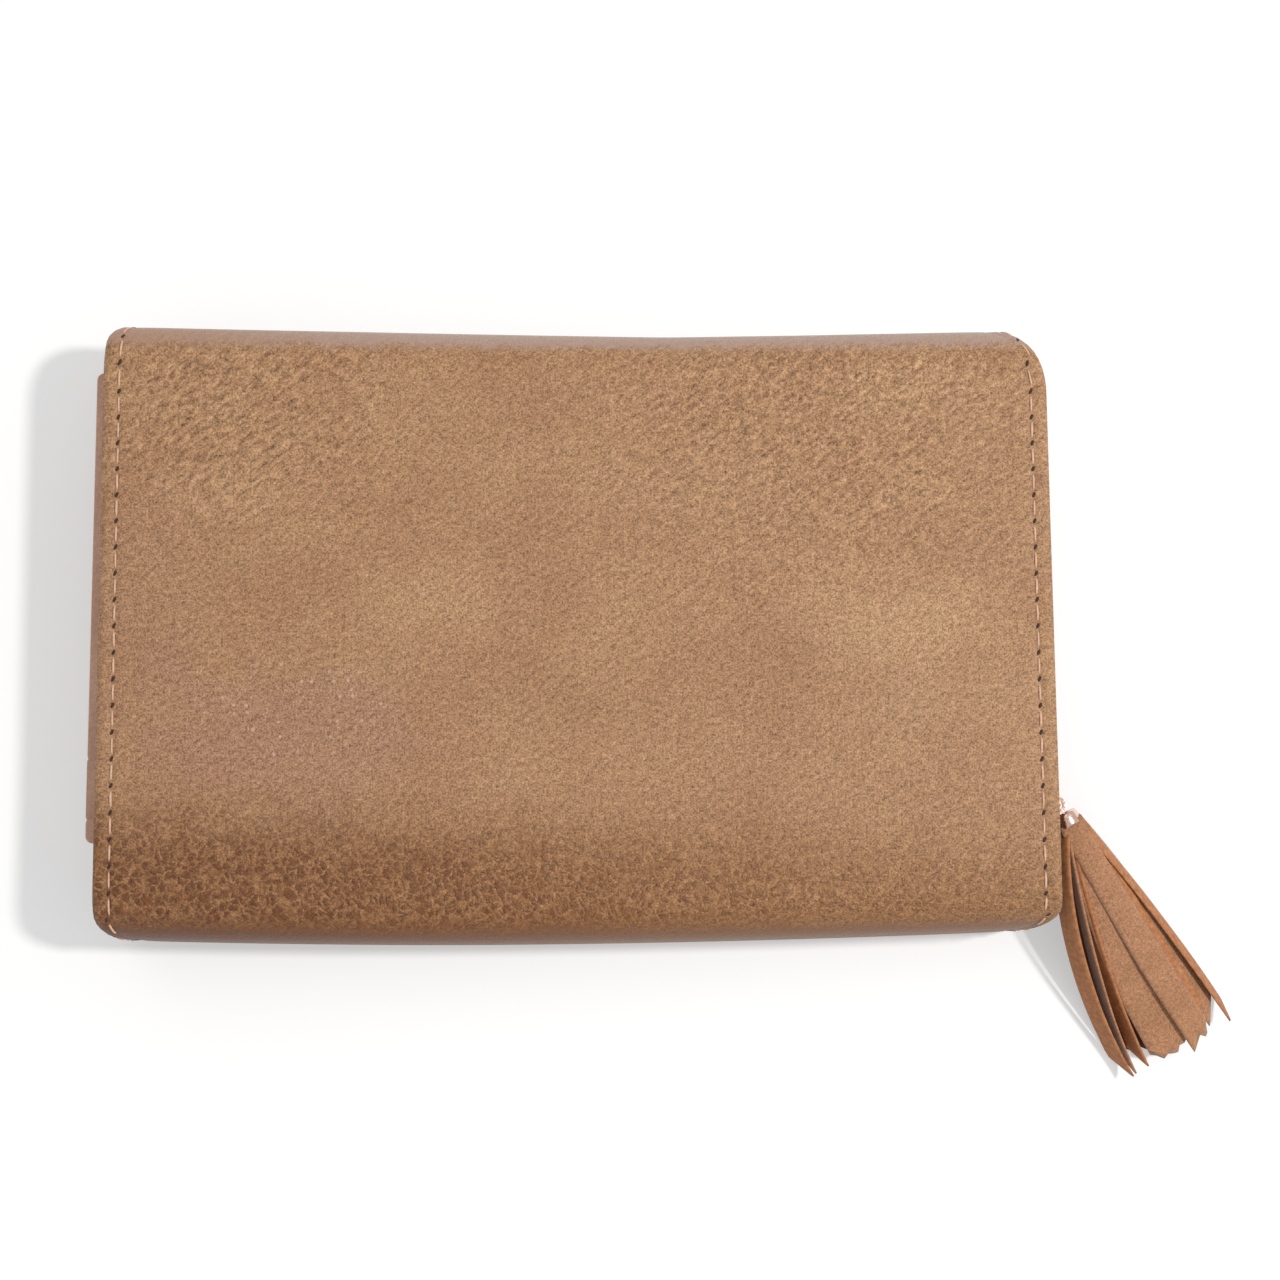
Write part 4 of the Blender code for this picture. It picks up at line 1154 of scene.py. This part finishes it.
def suede_strip(name, angle, length, start_angle, end_angle, roots, drop, width, roll, tip, sag=0.45,
                look="tassel_suede"):
    """One limp strip from the cap to the table.

    angle and length give the tip from the root in plan; start_angle and end_angle are its headings at
    the two ends. roots is its place across the cap and up from its middle, drop the tip's height, sag
    how soon it falls. width and roll are each (at the root, at the tip)."""
    start = ROOT + ACROSS * roots[0] * MM + Vector((0, 0, roots[1] * MM))
    points = strip_line(start, angle, length, start_angle, end_angle, drop, sag)
    outline = [(2 * k / STRIP_COLUMNS - 1, 1) for k in range(STRIP_COLUMNS + 1)]
    outline += [(-place, -1) for place, _ in outline]
    rings = []
    uv_rings = []
    for row, point in enumerate(points):
        t = row / STRIP_ROWS
        way = (points[min(row + 1, STRIP_ROWS)] - points[max(row - 1, 0)]).normalized()
        flat_side = way.cross(Vector((0, 0, 1))).normalized()
        turn = Matrix.Rotation(math.radians(roll[0] + (roll[1] - roll[0]) * t), 3, way)
        side = turn @ flat_side
        over = turn @ flat_side.cross(way)
        wide = (width[0] + (width[1] - width[0]) * min(1.0, t * 1.6)) * MM
        ring = []
        uvs = []
        for across, face in outline:
            cut_back = tip_length(tip, -across) * wide * 0.6 * smooth(0.75, 1.0, t)
            bow = 0.25 * (across ** 2) * MM * math.sin(math.pi * min(1, 0.25 + t))
            thin = STRIP_THICK / 2 * (0.75 if abs(across) > 0.99 else 1.0)
            ring.append(point - side * across * wide / 2 + over * (face * thin - bow) - way * cut_back)
            uvs.append((across * wide / 2, t * length * MM))
        rings.append(ring)
        uv_rings.append(uvs)
    obj = dress(loft(name, rings, uv_rings), look)
    lowest = min(vert.co.z for vert in obj.data.vertices)
    if lowest < ON_TABLE:
        for vert in obj.data.vertices:
            vert.co.z = max(vert.co.z, ON_TABLE + 0.02 * (vert.co.z - lowest))
    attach(obj, "tassel")
    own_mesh(obj)
    return obj


def build_tassel():
    # the orange-brown strips below carry the inner side's colour deepened with painted shade
    top = suede_strip("strip_top", angle=-56.2, length=53.4, start_angle=-58, end_angle=-57,
                      roots=(0.0, 1.9), drop=6.4, width=(5.0, 6.0), roll=(2, -4), tip="fork", sag=0.6)
    suede_strip("strip_under_top", angle=-54.9, length=51.0, start_angle=-52, end_angle=-57,
                roots=(0.7, 1.5), drop=5.8, width=(4.4, 5.0), roll=(-4, -6), tip="right_point",
                sag=0.6, look="tassel_inside_shaded")
    suede_strip("strip_right_inner", angle=-51.6, length=50.8, start_angle=-46, end_angle=-56,
                roots=(1.2, 0.5), drop=4.0, width=(4.0, 4.8), roll=(-16, -20), tip="right_point", sag=0.6)
    suede_strip("strip_right_outer", angle=-49.3, length=52.4, start_angle=-42, end_angle=-56,
                roots=(1.7, 0.4), drop=3.0, width=(3.2, 4.4), roll=(-56, -66), tip="right_point",
                sag=0.6, look="tassel_inside_shaded")
    # a dark fill strip: painted shade in the gap between the strips
    suede_strip("strip_right_low", angle=-51.6, length=48.0, start_angle=-46, end_angle=-56,
                roots=(0.8, -0.8), drop=1.2, width=(4.0, 4.6), roll=(0, 0), tip="jagged", sag=0.8,
                look="tassel_shade")
    suede_strip("strip_wide", angle=-63.0, length=51.4, start_angle=-68, end_angle=-61,
                roots=(-0.5, 1.2), drop=5.4, width=(4.8, 8.4), roll=(8, 2), tip="jagged", sag=0.7)
    suede_strip("strip_narrow", angle=-69.4, length=51.6, start_angle=-76, end_angle=-66,
                roots=(-1.2, 0.0), drop=3.4, width=(3.6, 4.4), roll=(66, 70), tip="left_point",
                sag=0.7, look="tassel_inside_shaded")
    suede_strip("strip_left_inner", angle=-72.0, length=52.2, start_angle=-80, end_angle=-66,
                roots=(-1.2, -0.2), drop=3.0, width=(4.0, 4.6), roll=(80, 84), tip="left_point", sag=0.8)
    suede_strip("strip_left_outer", angle=-72.6, length=52.6, start_angle=-94, end_angle=-59,
                roots=(-1.7, 0.2), drop=2.4, width=(4.0, 5.0), roll=(52, 74), tip="left_point",
                sag=1.0, look="tassel_inside_shaded")
    # dark fill strips: painted shade in the gaps between the strips
    suede_strip("strip_low", angle=-59.5, length=49.5, start_angle=-62, end_angle=-60,
                roots=(0.2, -1.2), drop=1.0, width=(4.2, 6.0), roll=(0, 0), tip="jagged", sag=0.9,
                look="tassel_shade")
    suede_strip("strip_lowest", angle=-72.4, length=49.0, start_angle=-88, end_angle=-61,
                roots=(-0.8, -1.9), drop=0.8, width=(4.2, 5.0), roll=(4, 0), tip="left_point", sag=1.0,
                look="tassel_shade")
    suede_strip("strip_shaded", angle=-70.0, length=49.0, start_angle=-80, end_angle=-64,
                roots=(-0.5, -1.2), drop=1.6, width=(4.2, 4.6), roll=(0, 0), tip="left_point", sag=0.9,
                look="tassel_shade")
    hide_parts(*[node for node in SLOT_OF if node.startswith("tassel_strip")])


build_pouch()
build_zip()
build_card_slots()
build_gussets()
build_metal()
build_tassel()

for node_name, node in frame["nodes"].items():
    if not node.hide_render:
        node.data.materials.clear()
        node.data.materials.append(LOOKS[SLOT_OF[node_name]])

# ---- Floor, light and camera ----
FLOOR_SIZE = 6.0
PAPER_GREY = 0.56
PAPER_GLOW = 0.36
bpy.ops.mesh.primitive_plane_add(size=FLOOR_SIZE, location=(0, 0, -0.05 * MM))
floor = bpy.context.object
floor.name = "floor"
paper, _, paper_shader = new_material("white_paper", 0.9, Specular_IOR_Level=0.0)
paper_shader.inputs["Base Color"].default_value = (PAPER_GREY, PAPER_GREY, PAPER_GREY, 1)
paper_shader.inputs["Emission Color"].default_value = (1, 1, 1, 1)
paper_shader.inputs["Emission Strength"].default_value = PAPER_GLOW
floor.data.materials.append(paper)


def area_light(name, at, size, power, tint):
    """A round lamp that faces the middle of the scene."""
    data = bpy.data.lights.new(name, "AREA")
    data.shape = "DISK"
    data.size = size
    data.energy = power
    data.color = tint
    lamp = bpy.data.objects.new(name, data)
    lamp.location = at
    lamp.rotation_euler = (-Vector(at)).to_track_quat("-Z", "Y").to_euler()
    bpy.context.scene.collection.objects.link(lamp)


area_light("key", (0.68, 0.02, 1.05), 0.12, 11.0, (1, 0.99, 0.97))
area_light("fill", (-0.3, 0.5, 1.2), 0.9, 1.5, (0.97, 0.98, 1))
world = bpy.data.worlds.new("studio")
bpy.context.scene.world = world
world.use_nodes = True
sky = world.node_tree.nodes["Background"]
sky.inputs["Color"].default_value = (1, 1, 1, 1)
sky.inputs["Strength"].default_value = 0.62
bpy.context.scene.view_settings.view_transform = "Standard"

CAMERA_TILT = math.radians(82.0)
CAMERA_DISTANCE = 0.52
camera_data = bpy.data.cameras.new("camera")
camera_data.lens = 73.0
camera_data.sensor_width = 36.0
camera_data.shift_x = 0.05
camera = bpy.data.objects.new("camera", camera_data)
aim = Vector((0, -2.0 * MM, THICKNESS))
camera.location = aim + CAMERA_DISTANCE * Vector((0, -math.cos(CAMERA_TILT), math.sin(CAMERA_TILT)))
camera.rotation_euler = (math.pi / 2 - CAMERA_TILT, 0, 0)
bpy.context.scene.collection.objects.link(camera)
bpy.context.scene.camera = camera
